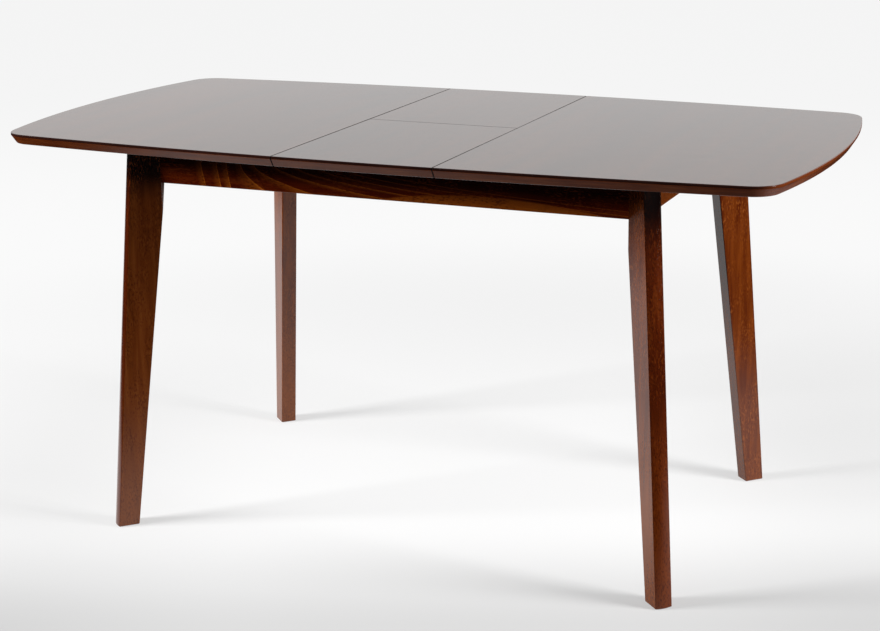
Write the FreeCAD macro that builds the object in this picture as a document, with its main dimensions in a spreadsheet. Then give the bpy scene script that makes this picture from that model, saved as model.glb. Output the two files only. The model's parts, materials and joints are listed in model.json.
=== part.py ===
import FreeCAD, Part
import math
import os
import re
import Sketcher

# Extending table with a self-storing leaf. Millimetres, +Z up, origin on the floor below the centre
# of the top, X along the table and Y across it. It stands extended, with the leaf in its place.

doc = FreeCAD.newDocument("butterfly_leaf_table")

# ---------------------------------------------------------------- driving dimensions
SIZES = [
    # top and leaf
    ("table_height", 750, "floor to the face of the top"),
    ("top_thickness", 19, "half tops and leaf"),
    ("half_top_length", 605, "seam edge to the tip of a half top"),
    ("top_width", 796, "widest, at the middle of the table"),
    ("side_arc_radius", 7400, "bowed long edges"),
    ("end_arc_radius", 1600, "bowed ends"),
    ("corner_radius", 55, "between a long edge and an end"),
    ("edge_band", 4, "upright part of the rim"),
    ("edge_undercut", 9, "how far the rim slopes in below the band"),
    ("top_arris", 1.6, "rounding of the upper rim"),
    ("leaf_width", 298, "leaf, seam to seam"),
    ("seam_gap", 1, "between the leaf and a half top"),
    ("fold_gap", 0.6, "between the two leaf halves"),
    # frame
    ("frame_clearance", 0.5, "below the tops"),
    ("long_apron_length", 897, "between the leg flats"),
    ("side_inset", 153.5, "long edge of the top to the corner of the leg flats"),
    ("apron_thickness", 20, "all four aprons"),
    ("apron_depth", 72.5, "all four aprons"),
    ("apron_arris", 1.5, "rounding of the lower apron edges"),
    # legs
    ("leg_thickness", 32, "plank"),
    ("leg_top_reach", 69, "corner of the flats to the outer edge, at the top"),
    ("leg_top_depth", 71, "plank at the top"),
    ("leg_splay", 66, "how far the outer edge leans out"),
    ("leg_foot_depth", 41.5, "plank at the floor"),
    ("leg_crown_radius", 50, "crown of the outer edge"),
    ("crown_allowance", 1, "planed off the plank to crown its outer edge"),
    ("leg_arris", 2, "rounding of the inner edges"),
    ("glide_radius", 9, "foot glides"),
    ("glide_height", 4, "foot glides"),
    ("glide_proud", 1, "foot glide below the foot that it is let into"),
    # leg fixing
    ("block_gap", 3, "leg to corner block"),
    ("block_thickness", 30, "corner block, along the bolts"),
    ("block_height", 62, "corner block"),
    ("block_rise", 4, "corner block above the apron's lower edge"),
    ("bolt_radius", 4, "hanger bolts"),
    ("bolt_grip", 38, "hanger bolt in the leg"),
    ("bolt_low", 14, "lower bolt above the apron's lower edge"),
    ("bolt_pitch", 32, "between the two bolts of a leg"),
    ("washer_radius", 9, "hanger bolts"),
    ("washer_thickness", 1.6, "hanger bolts"),
    ("nut_corner_radius", 7.5, "hanger bolts"),
    ("nut_height", 6.5, "hanger bolts"),
    ("bolt_end", 4, "bolt beyond its nut"),
    ("hole_clearance", 0.05, "round a screw, bolt, pin or dowel"),
    # screws
    ("screw_radius", 2, "wood screws"),
    ("screw_head_radius", 3.8, "wood screws"),
    ("screw_head_height", 2.2, "wood screws"),
    ("screw_bite", 14, "wood screw in the far piece"),
    ("short_bite", 9, "screw in a batten, cleat or rail"),
    ("top_bite", 12, "screw in the top or the leaf"),
    ("head_clearance", 0.3, "round a screw head in its counterbore"),
    ("block_screw_inset", 38.5, "from the corner of the flats"),
    ("block_screw_low", 29, "lower block screws above the apron's lower edge"),
    ("block_screw_pitch", 32, "between the two levels of block screws"),
    ("block_screw_seat", 7, "wood under a corner block screw's head"),
    # cross rails and leaf pivots
    ("strap_thickness", 2.5, "leaf pivot straps"),
    ("strap_gap", 3.5, "strap to the leaf's edge"),
    ("strap_radius", 8, "rounded eye of a strap"),
    ("strap_rise", 2, "strap above the apron's lower edge"),
    ("strap_screw_low", 7.5, "lower strap screw above the apron's lower edge"),
    ("strap_screw_pitch", 10.5, "between the two screws of a strap"),
    ("rail_thickness", 24, "cross rails"),
    ("rail_depth", 25, "cross rails"),
    ("tenon_length", 8, "cross rail stub tenons"),
    ("tenon_shoulder", 4, "round a stub tenon"),
    ("mortise_clearance", 0.1, "round a stub tenon"),
    ("leaf_cleat_width", 20, "cleats under the leaf"),
    ("leaf_cleat_inset", 1, "leaf edge to cleat"),
    ("leaf_cleat_thickness", 14, "cleats under the leaf"),
    ("leaf_cleat_start", 12, "cleat end to the fold line"),
    ("cleat_end_gap", 17, "cleat to the front apron"),
    ("cleat_screw_inset", 18, "cleat end to its first screw"),
    ("cleat_screw_middle", 135, "cleat end to its middle screw"),
    ("pivot_back", 100, "fold line to the leaf pivot"),
    ("pivot_drop", 9, "pivot below the leaf"),
    ("pin_radius", 3, "leaf pivot pins"),
    ("pin_setback", 4, "pin tip short of the cleat's inner face"),
    ("pin_head_radius", 6, "leaf pivot pins"),
    ("pin_head_height", 3, "leaf pivot pins"),
    ("washer_play", 0.15, "each side of a pivot washer"),
    # slides
    ("slide_width", 12.7, "apron to batten"),
    ("slide_height", 34, "slide channel"),
    ("slide_drop", 8.5, "channel below the top of the frame"),
    ("slide_sheet", 1.2, "slide steel"),
    ("channel_start", 15, "inner end of a channel"),
    ("channel_lip", 10, "channel lips"),
    ("channel_screw_inset", 20, "channel end to its first screw"),
    ("stop_clearance", 0.5, "channel stop to the batten"),
    ("member_start", 165, "inner end of a slide member"),
    ("slide_end_gap", 52, "outer end of a channel to the corner of the leg flats"),
    ("member_lip", 10.5, "member lips"),
    ("member_screw_inset", 18, "member end to its screw"),
    ("out_travel", 30, "half top, outwards from the leaf"),
    ("stop_play", 0.3, "member to its stop at full travel"),
    ("ball_radius", 1.5, "slide balls"),
    ("ball_play", 0.15, "ball to its track"),
    ("ball_offset", 0.4, "balls, from the middle of the slide towards the apron"),
    ("cage_start", 190, "inner end of a ball cage"),
    ("cage_length", 90, "ball cage"),
    ("cage_sheet", 0.5, "ball cage"),
    ("cage_lip", 6.4, "ball cage"),
    ("ball_inset", 12, "cage end to the first ball"),
    ("ball_pitch", 33, "between balls"),
    ("batten_start", 160, "inner end of a slide batten"),
    ("batten_past", 10, "batten beyond the end of its slide member"),
    ("batten_thickness", 22, "slide batten"),
    ("batten_depth", 45, "slide batten"),
    ("batten_screw_inset", 22, "batten end to its first screw"),
    # seam dowels
    ("dowel_radius", 4, "seam dowels"),
    ("dowel_reach", 12, "dowel out of the half top"),
    ("dowel_grip", 25, "dowel in the half top"),
    ("dowel_station", 320, "middle of the table to a dowel"),
    ("notch_play", 0.3, "leaf notch round a dowel"),
    # fold hinges
    ("hinge_station", 90, "middle of the leaf to a fold hinge"),
    ("barrel_radius", 7, "fold hinge barrels"),
    ("barrel_length", 18, "fold hinge barrels"),
    ("barrel_slot", 6.2, "slot for the links"),
    ("barrel_end_play", 0.3, "barrel to the end of its bore"),
    ("fold_rise", 0.4, "fold axis above the top"),
    ("barrel_drop", 10.4, "barrel centre below the fold axis"),
    ("link_radius", 16.2, "folding link round the fold axis"),
    ("link_drop", 5.5, "flat edge of the folding link below the fold axis"),
    ("link_thickness", 2, "folding link"),
    ("link_play", 0.8, "rim of the folding link to the end of its slot"),
    ("tongue_thickness", 1.5, "fixed tongue of a barrel"),
    ("tongue_play", 0.3, "tongue to folding link"),
    ("tongue_reach", 5, "tongue past the fold line"),
    ("tongue_setback", 0.5, "tongue short of the barrel's end"),
    ("tongue_height", 6, "fixed tongue"),
]

# ---------------------------------------------------------------- places that follow from them
PLACES = [
    ("top_under", "table_height - top_thickness"),
    ("frame_top", "top_under - frame_clearance"),
    ("apron_bottom", "frame_top - apron_depth"),
    ("half_leaf", "leaf_width / 2"),
    ("top_inner", "half_leaf + seam_gap"),
    ("top_tip", "top_inner + half_top_length"),
    ("half_width", "top_width / 2"),
    ("bevel_height", "top_thickness - edge_band"),
    ("flat_x", "long_apron_length / 2"),
    ("flat_y", "half_width - side_inset"),
    ("short_apron_length", "2 * flat_y"),
    ("flat_run", "leg_thickness / sqrt(2)"),
    ("long_face", "flat_y + flat_run"),
    ("long_inner", "long_face - apron_thickness"),
    ("short_face", "flat_x + flat_run"),
    ("short_inner", "short_face - apron_thickness"),
    ("leg_top_inner", "leg_top_reach - leg_top_depth"),
    ("foot_outer", "leg_top_reach + leg_splay"),
    ("foot_inner", "foot_outer - leg_foot_depth"),
    ("foot_middle", "foot_outer - leg_foot_depth / 2"),
    ("plank_foot", "foot_outer + crown_allowance"),
    ("plank_top", "leg_top_reach + crown_allowance"),
    ("block_bottom", "apron_bottom + block_rise"),
    ("block_slack", "(flat_run - apron_thickness) * sqrt(2)"),
    ("block_outer", "0 - block_gap"),
    ("block_inner", "0 - block_gap - block_thickness"),
    ("block_outer_half", "block_slack + block_gap"),
    ("block_inner_half", "block_slack + block_gap + block_thickness"),
    ("block_outer_back", "0 - block_outer_half"),
    ("block_inner_back", "0 - block_inner_half"),
    ("rail_top", "apron_bottom + rail_depth"),
    ("strap_inner", "half_leaf + strap_gap"),
    ("rail_inner", "strap_inner + strap_thickness"),
    ("rail_outer", "rail_inner + rail_thickness"),
    ("cleat_outer", "half_leaf - leaf_cleat_inset"),
    ("cleat_inner", "cleat_outer - leaf_cleat_width"),
    ("cleat_bottom", "top_under - leaf_cleat_thickness"),
    ("pivot_height", "top_under - pivot_drop"),
    ("slide_top", "frame_top - slide_drop"),
    ("slide_bottom", "slide_top - slide_height"),
    ("slide_middle", "slide_top - slide_height / 2"),
    ("track_gap", "2 * (ball_radius + ball_play)"),
    ("member_top", "slide_top - slide_sheet - track_gap"),
    ("member_bottom", "slide_bottom + slide_sheet + track_gap"),
    ("batten_face", "long_inner - slide_width"),
    ("batten_back", "batten_face - batten_thickness"),
    ("batten_bottom", "top_under - batten_depth"),
    ("batten_middle", "batten_face - batten_thickness / 2"),
    ("channel_end", "flat_x - slide_end_gap"),
    ("channel_stop", "channel_end - slide_sheet"),
    ("member_end", "channel_stop - stop_play - out_travel"),
    ("batten_length", "member_end + batten_past - batten_start"),
    ("leaf_cleat_length", "long_inner - cleat_end_gap - leaf_cleat_start"),
    ("web_middle", "(long_inner - slide_sheet + batten_face + member_lip) / 2"),
    ("ball_line", "long_inner - slide_width / 2 + ball_offset"),
    ("upper_balls", "slide_top - slide_sheet - track_gap / 2"),
    ("lower_balls", "slide_bottom + slide_sheet + track_gap / 2"),
    ("dowel_height", "top_under + top_thickness / 2"),
    ("fold_axis", "table_height + fold_rise"),
    ("barrel_height", "fold_axis - barrel_drop"),
    ("half_fold", "fold_gap / 2"),
    ("flats_back", "0 - leg_thickness"),
    ("end_centre", "top_tip - end_arc_radius"),
    ("far_end_centre", "0 - end_centre"),
    ("side_centre", "half_width - side_arc_radius"),
    ("far_side_centre", "0 - side_centre"),
]

size_names = [name for name, _, _ in SIZES]
place_names = [name for name, _ in PLACES]


def bound(text, inside_places=False):
    """an expression with each size and place written as FreeCAD reads it"""
    def spell(match):
        word = match.group(0)
        if word in size_names:
            return "Sizes." + word
        if word in place_names and not inside_places:
            return "Places." + word
        return word
    return re.sub(r"[a-z][a-z_]*", spell, text)


sizes = doc.addObject("Spreadsheet::Sheet", "Sizes")
for row, (name, length, note) in enumerate(SIZES, 1):
    sizes.set(f"A{row}", note)
    sizes.set(f"B{row}", str(length))
    sizes.setAlias(f"B{row}", name)
places = doc.addObject("Spreadsheet::Sheet", "Places")
for row, (name, formula) in enumerate(PLACES, 1):
    places.set(f"A{row}", name)
    places.set(f"B{row}", "=" + bound(formula, inside_places=True))
    places.setAlias(f"B{row}", name)
doc.recompute()


def number(name):
    """the length held by one size or place, or a plain number as it is"""
    if name in size_names:
        return float(sizes.get(name))
    if name in place_names:
        return float(places.get(name))
    return float(name)


# ---------------------------------------------------------------- simple pieces
# how far a cutting tool or window runs past the face that it opens
PAST = "1"
UPRIGHT = FreeCAD.Rotation()
TURNS = {
    "x": FreeCAD.Rotation(FreeCAD.Vector(0, 1, 0), 90),
    "y": FreeCAD.Rotation(FreeCAD.Vector(1, 0, 0), -90),
    "z": UPRIGHT,
}
nodes = []
drilled = {}


def moved_to(piece, at, turn=UPRIGHT):
    """the piece turned, with its place tied to three expressions"""
    piece.Placement = FreeCAD.Placement(FreeCAD.Vector(0, 0, 0), turn)
    for axis, text in zip("xyz", at):
        piece.setExpression(f"Placement.Base.{axis}", bound(text))
    return piece


def side_span(side, low, high):
    """two limits on the plus or the minus side of a middle plane"""
    if side > 0:
        return low, high
    return f"-({high})", f"-({low})"


def bar(name, along, across, up):
    """straight bar between a lower and an upper limit in x, y and z"""
    box = doc.addObject("Part::Box", name)
    for extent, (low, high) in zip(("Length", "Width", "Height"), (along, across, up)):
        box.setExpression(extent, bound(f"({high}) - ({low})"))
    return moved_to(box, (along[0], across[0], up[0]))


def rod(name, radius, length, at, turn):
    """round rod that starts at a point and runs along the turned z axis"""
    cylinder = doc.addObject("Part::Cylinder", name)
    cylinder.setExpression("Radius", bound(radius))
    cylinder.setExpression("Height", bound(length))
    return moved_to(cylinder, at, turn)


def joined(name, pieces):
    """one solid of several that touch"""
    whole = doc.addObject("Part::MultiFuse", name)
    whole.Shapes = pieces
    whole.Refine = True
    return whole


def less(name, base, tools):
    """the base with every tool taken out"""
    piece = doc.addObject("Part::Cut", name)
    piece.Base = base
    piece.Tool = tools[0] if len(tools) == 1 else joined(name + "_tools", tools)
    return piece


def kept(name, piece):
    """files the piece as a node"""
    piece.Label = name
    nodes.append(piece)
    return piece


def kept_group(name, pieces):
    """files several separate solids as one node"""
    whole = doc.addObject("Part::Compound", name)
    whole.Links = pieces
    return kept(name, whole)


def drill(piece, tool):
    """remembers a hole for the piece of that name"""
    drilled.setdefault(piece, []).append(tool)


def finished(name, blank):
    """files the blank as a node, with the holes that were drilled in it"""
    blank.Label = name + "_blank"
    if name not in drilled:
        return kept(name, blank)
    return kept(name, less(name, blank, drilled[name]))


def edges_where(shape, test):
    """names of the edges whose points all pass the test"""
    found = []
    for count, edge in enumerate(shape.Edges, 1):
        points = [edge.valueAt(edge.FirstParameter), edge.valueAt(edge.LastParameter)]
        points.append(edge.valueAt((edge.FirstParameter + edge.LastParameter) / 2))
        if all(test(point) for point in points):
            found.append(f"Edge{count}")
    return found


def near(first, second):
    return abs(first - second) < 1e-4


# ---------------------------------------------------------------- sketched bodies
def sketch_on(body, name, plane):
    sketch = body.newObject("Sketcher::SketchObject", name)
    support = [item for item in body.Origin.OriginFeatures if item.Role == plane][0]
    sketch.AttachmentSupport = (support, [""])
    sketch.MapMode = "FlatFace"
    return sketch


def tie(sketch, kind, value, *where):
    """a dimension of the sketch that follows the size or place of that name"""
    place = sketch.addConstraint(Sketcher.Constraint(kind, *where, number(value)))
    if value in size_names + place_names:
        sketch.setExpression(f"Constraints[{place}]", bound(value))


def polygon(body, name, plane, corners):
    """closed outline of straight lines, each corner tied to two sizes or places"""
    sketch = sketch_on(body, name, plane)
    points = [FreeCAD.Vector(number(x), number(y), 0) for x, y in corners]
    count = len(points)
    for start in range(count):
        sketch.addGeometry(Part.LineSegment(points[start], points[(start + 1) % count]), False)
    for start in range(count):
        sketch.addConstraint(Sketcher.Constraint("Coincident", start, 2, (start + 1) % count, 1))
    for start, (x, y) in enumerate(corners):
        tie(sketch, "DistanceX", x, -1, 1, start, 1)
        tie(sketch, "DistanceY", y, -1, 1, start, 1)
    return sketch


def pad(body, sketch, length, side="One side"):
    feature = body.newObject("PartDesign::Pad", sketch.Name + "_pad")
    feature.Profile = sketch
    feature.SideType = side
    feature.Length = number(length)
    feature.setExpression("Length", bound(length))
    return feature


def rounded(body, base, test, radius):
    """fillet on the edges that pass the test"""
    doc.recompute()
    feature = body.newObject("PartDesign::Fillet", base.Name + "_round")
    feature.Base = (base, edges_where(base.Shape, test))
    feature.Radius = number(radius)
    feature.setExpression("Radius", bound(radius))
    return feature


# ---------------------------------------------------------------- corners of the frame
# Each corner has its own frame: x runs out through the leg, away from the middle of the table.
CORNERS = [
    ("front_left", -1, -1, 225),
    ("front_right", 1, -1, 315),
    ("back_left", -1, 1, 135),
    ("back_right", 1, 1, 45),
]
DIAGONAL = "/ sqrt(2)"


def corner_point(side_x, side_y, out, height):
    """a point that lies the distance out along a leg's middle plane"""
    return (
        f"{side_x} * (flat_x + ({out}) {DIAGONAL})",
        f"{side_y} * (flat_y + ({out}) {DIAGONAL})",
        height,
    )


def corner_turn(angle):
    """turn about the upright axis"""
    return FreeCAD.Rotation(FreeCAD.Vector(0, 0, 1), angle)


def leg_crown(corner, side_x, side_y, angle):
    """stout leaning rod whose outer side is the crown of the leg's outer edge"""
    rise = number("frame_top") - number("glide_proud")
    lean = math.atan2(number("leg_splay"), rise)
    turn = corner_turn(angle) * FreeCAD.Rotation(FreeCAD.Vector(0, 1, 0), -math.degrees(lean))
    radius = f"leg_crown_radius / {math.cos(lean)}"
    below = corner_point(side_x, side_y, f"foot_outer - {radius} + leg_splay",
                         "2 * glide_proud - frame_top")
    return rod(f"leg_{corner}_crown", "leg_crown_radius", "3 * frame_top", below, turn)


def leg_blank(corner, side_x, side_y, angle):
    """tapered plank with a crowned outer edge and two flats for the aprons"""
    body = doc.addObject("PartDesign::Body", f"leg_{corner}_plank")
    side_view = polygon(body, f"leg_{corner}_side", "XZ_Plane", [
        ("foot_inner", "glide_proud"),
        ("plank_foot", "glide_proud"),
        ("plank_top", "frame_top"),
        ("leg_top_inner", "frame_top"),
    ])
    plank = pad(body, side_view, "leg_thickness", "Symmetric")
    foot_line = number("glide_proud")
    rise = number("frame_top") - foot_line

    def on_edge(foot, top):
        lean = (number(top) - number(foot)) / rise
        return lambda point: near(point.x, number(foot) + lean * (point.z - foot_line))

    inner = rounded(body, plank, on_edge("foot_inner", "leg_top_inner"), "leg_arris")
    doc.recompute()
    before = inner.Shape.Volume
    flats = polygon(body, f"leg_{corner}_flats", "XY_Plane", [
        ("0", "0"),
        ("leg_thickness", "leg_thickness"),
        ("flats_back", "leg_thickness"),
        ("flats_back", "flats_back"),
        ("leg_thickness", "flats_back"),
    ])
    cut = body.newObject("PartDesign::Pocket", f"leg_{corner}_flats_cut")
    cut.Profile = flats
    cut.Type = "ThroughAll"
    cut.Reversed = True
    doc.recompute()
    if cut.Shape.Volume > before - 1:
        raise RuntimeError(f"leg_{corner}: the flats cut nothing")
    moved_to(body, corner_point(side_x, side_y, "0", "0"), corner_turn(angle))
    crowned = doc.addObject("Part::Common", f"leg_{corner}_crowned")
    crowned.Base = body
    crowned.Tool = leg_crown(corner, side_x, side_y, angle)
    return crowned


def corner_block_blank(corner, side_x, side_y, angle):
    """block across the inside of a corner, between the two apron faces"""
    body = doc.addObject("PartDesign::Body", f"corner_block_{corner}_body")
    plan = polygon(body, f"corner_block_{corner}_plan", "XY_Plane", [
        ("block_outer", "block_outer_back"),
        ("block_outer", "block_outer_half"),
        ("block_inner", "block_inner_half"),
        ("block_inner", "block_inner_back"),
    ])
    pad(body, plan, "block_height")
    moved_to(body, corner_point(side_x, side_y, "0", "block_bottom"), corner_turn(angle))
    return body


def aprons_at(corner):
    """names of the long and the short apron that meet at a corner"""
    end, side = corner.split("_")
    return f"apron_{end}", f"apron_{side}"


def leg_bolts(corner, side_x, side_y, angle):
    """two hanger bolts with washer and nut, through the corner block into the leg"""
    turn = corner_turn(angle) * TURNS["x"]
    tail = "block_inner - washer_thickness - nut_height - bolt_end"
    parts = {"bolt": [], "washer": [], "nut": []}
    for level, rise in enumerate(("bolt_low", "bolt_low + bolt_pitch")):
        height = f"apron_bottom + {rise}"
        start = corner_point(side_x, side_y, tail, height)
        length = f"bolt_grip - ({tail})"
        tag = f"{corner}_{level}"
        parts["bolt"].append(rod(f"bolt_{tag}", "bolt_radius", length, start, turn))
        bore = rod(f"bolt_bore_{tag}", "bolt_radius + hole_clearance", length, start, turn)
        for piece in (f"leg_{corner}", f"corner_block_{corner}", *aprons_at(corner)):
            drill(piece, bore)
        seat = corner_point(side_x, side_y, "block_inner - washer_thickness", height)
        disc = rod(f"washer_disc_{tag}", "washer_radius", "washer_thickness", seat, turn)
        parts["washer"].append(less(f"washer_{tag}", disc, [bore]))
        hexagon = doc.addObject("Part::Prism", f"nut_hexagon_{tag}")
        hexagon.Polygon = 6
        hexagon.setExpression("Circumradius", bound("nut_corner_radius"))
        hexagon.setExpression("Height", bound("nut_height"))
        under = "block_inner - washer_thickness - nut_height"
        moved_to(hexagon, corner_point(side_x, side_y, under, height), turn)
        parts["nut"].append(less(f"nut_{tag}", hexagon, [bore]))
    return parts


# ---------------------------------------------------------------- screws
def screw(name, axis, side, seat, cover, bite, pieces):
    """pan-head wood screw. Its head sits on the seat point, its shank runs along the axis, to the
    plus or minus side, through the cover and the bite, and drills the pieces it passes"""
    place = "xyz".index(axis)
    shank_length = f"{cover} + {bite}"

    def from_seat(low, high):
        """a start point and a length along the screw, from the seat"""
        start = list(seat)
        nearest = low if side > 0 else high
        start[place] = f"{seat[place]} + {side} * ({nearest})"
        return start, f"({high}) - ({low})"

    start, length = from_seat("0", shank_length)
    shank = rod(name + "_shank", "screw_radius", length, start, TURNS[axis])
    bore = rod(name + "_bore", "screw_radius + hole_clearance", length, start, TURNS[axis])
    start, length = from_seat("-screw_head_height", "0")
    head = rod(name + "_head", "screw_head_radius", length, start, TURNS[axis])
    for piece in pieces:
        drill(piece, bore)
    return joined(name, [shank, head])


def block_screws(corner, side_x, side_y):
    """four screws, two into each apron, in counterbored holes"""
    made = []
    long_apron, short_apron = aprons_at(corner)
    for level, rise in enumerate(("block_screw_low", "block_screw_low + block_screw_pitch")):
        height = f"apron_bottom + {rise}"
        runs = [
            ("y", side_y, "flat_x", side_x, "long_inner", long_apron),
            ("x", side_x, "flat_y", side_y, "short_inner", short_apron),
        ]
        for axis, side, corner_line, other_side, face, apron in runs:
            seat = {axis: f"{side} * ({face} - block_screw_seat)", "z": height}
            other = "x" if axis == "y" else "y"
            seat[other] = f"{other_side} * ({corner_line} - block_screw_inset)"
            point = [seat["x"], seat["y"], seat["z"]]
            name = f"block_screw_{corner}_{axis}_{level}"
            made.append(screw(name, axis, side, point, "block_screw_seat", "screw_bite",
                              [f"corner_block_{corner}", apron]))
            start = list(point)
            if side > 0:
                start["xyz".index(axis)] += " - block_thickness"
            drill(f"corner_block_{corner}",
                  rod(name + "_counterbore", "screw_head_radius + head_clearance", "block_thickness",
                      start, TURNS[axis]))
    return made


# ---------------------------------------------------------------- legs, blocks and their fixings
bolts = []
washers = []
nuts = []
corner_screws = []
glides = []
for corner, side_x, side_y, angle in CORNERS:
    fixing = leg_bolts(corner, side_x, side_y, angle)
    bolts += fixing["bolt"]
    washers += fixing["washer"]
    nuts += fixing["nut"]
    corner_screws += block_screws(corner, side_x, side_y)
    foot = corner_point(side_x, side_y, "foot_middle", "0")
    glides.append(rod(f"glide_{corner}", "glide_radius", "glide_height", foot, UPRIGHT))
    drill(f"leg_{corner}", rod(f"glide_recess_{corner}", "glide_radius + hole_clearance",
                               "glide_height", foot, UPRIGHT))
    finished(f"leg_{corner}", leg_blank(corner, side_x, side_y, angle))
    finished(f"corner_block_{corner}", corner_block_blank(corner, side_x, side_y, angle))
kept_group("leg_hanger_bolts", bolts)
kept_group("leg_bolt_washers", washers)
kept_group("leg_bolt_nuts", nuts)
kept_group("corner_block_screws", corner_screws)
kept_group("foot_glides", glides)

# ---------------------------------------------------------------- cross rails and leaf pivots
SIDES = [("left", -1), ("right", 1)]
ENDS = [("front", -1), ("back", 1)]
strap_screws = []
straps = []
pivot_pins = []
pivot_washers = []
for side_name, side in SIDES:
    name = f"cross_rail_{side_name}"
    span = side_span(side, "rail_inner", "rail_outer")
    rail = bar(name + "_bar", span, ("-long_inner", "long_inner"), ("apron_bottom", "rail_top"))
    tenon_span = side_span(side, "rail_inner + tenon_shoulder", "rail_outer - tenon_shoulder")
    tenon_rise = ("apron_bottom + tenon_shoulder", "rail_top - tenon_shoulder")
    reach = "long_inner + tenon_length"
    tenon = bar(name + "_tenons", tenon_span, (f"-({reach})", reach), tenon_rise)
    mortise_span = (f"{tenon_span[0]} - mortise_clearance", f"{tenon_span[1]} + mortise_clearance")
    mortise_rise = (f"{tenon_rise[0]} - mortise_clearance", f"{tenon_rise[1]} + mortise_clearance")
    for end_name, end in ENDS:
        depth = side_span(end, f"long_inner - {PAST}", f"{reach} + mortise_clearance")
        drill(f"apron_{end_name}",
              bar(f"mortise_{side_name}_{end_name}", mortise_span, depth, mortise_rise))

    strap_span = side_span(side, "strap_inner", "rail_inner")
    plate = bar(f"strap_plate_{side_name}", strap_span,
                ("-pivot_back - strap_radius", "-pivot_back + strap_radius"),
                ("apron_bottom + strap_rise", "pivot_height"))
    eye = rod(f"strap_eye_{side_name}", "strap_radius", "strap_thickness",
              (strap_span[0], "-pivot_back", "pivot_height"), TURNS["x"])
    strap = joined(f"strap_blank_{side_name}", [plate, eye])
    for level, rise in enumerate(("strap_screw_low", "strap_screw_low + strap_screw_pitch")):
        seat = (f"{side} * strap_inner", "-pivot_back", f"apron_bottom + {rise}")
        strap_screws.append(screw(f"strap_screw_{side_name}_{level}", "x", side, seat,
                                  "strap_thickness", "short_bite", [name, f"strap_{side_name}"]))
    tip = "cleat_inner + pin_setback"
    head_span = side_span(side, "rail_inner", "rail_inner + pin_head_height")
    shank_span = side_span(side, tip, "rail_inner")
    at = (shank_span[0], "-pivot_back", "pivot_height")
    length = f"rail_inner - ({tip})"
    shank = rod(f"pin_shank_{side_name}", "pin_radius", length, at, TURNS["x"])
    bore = rod(f"pin_bore_{side_name}", "pin_radius + hole_clearance", length, at, TURNS["x"])
    head = rod(f"pin_head_{side_name}", "pin_head_radius", "pin_head_height",
               (head_span[0], "-pivot_back", "pivot_height"), TURNS["x"])
    pivot_pins.append(joined(f"pivot_pin_{side_name}", [shank, head]))
    drill(f"strap_{side_name}", bore)
    drill(f"leaf_cleat_{side_name}", bore)
    ring_span = side_span(side, "cleat_outer + washer_play", "strap_inner - washer_play")
    ring = rod(f"pivot_ring_{side_name}", "pin_head_radius", f"{ring_span[1]} - ({ring_span[0]})",
               (ring_span[0], "-pivot_back", "pivot_height"), TURNS["x"])
    pivot_washers.append(less(f"pivot_washer_{side_name}", ring, [bore]))
    straps.append(less(f"strap_{side_name}", strap, drilled[f"strap_{side_name}"]))
    finished(name, joined(name + "_blank", [rail, tenon]))
kept_group("leaf_pivot_straps", straps)
kept_group("strap_screws", strap_screws)
kept_group("leaf_pivot_pins", pivot_pins)
kept_group("leaf_pivot_washers", pivot_washers)

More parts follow.
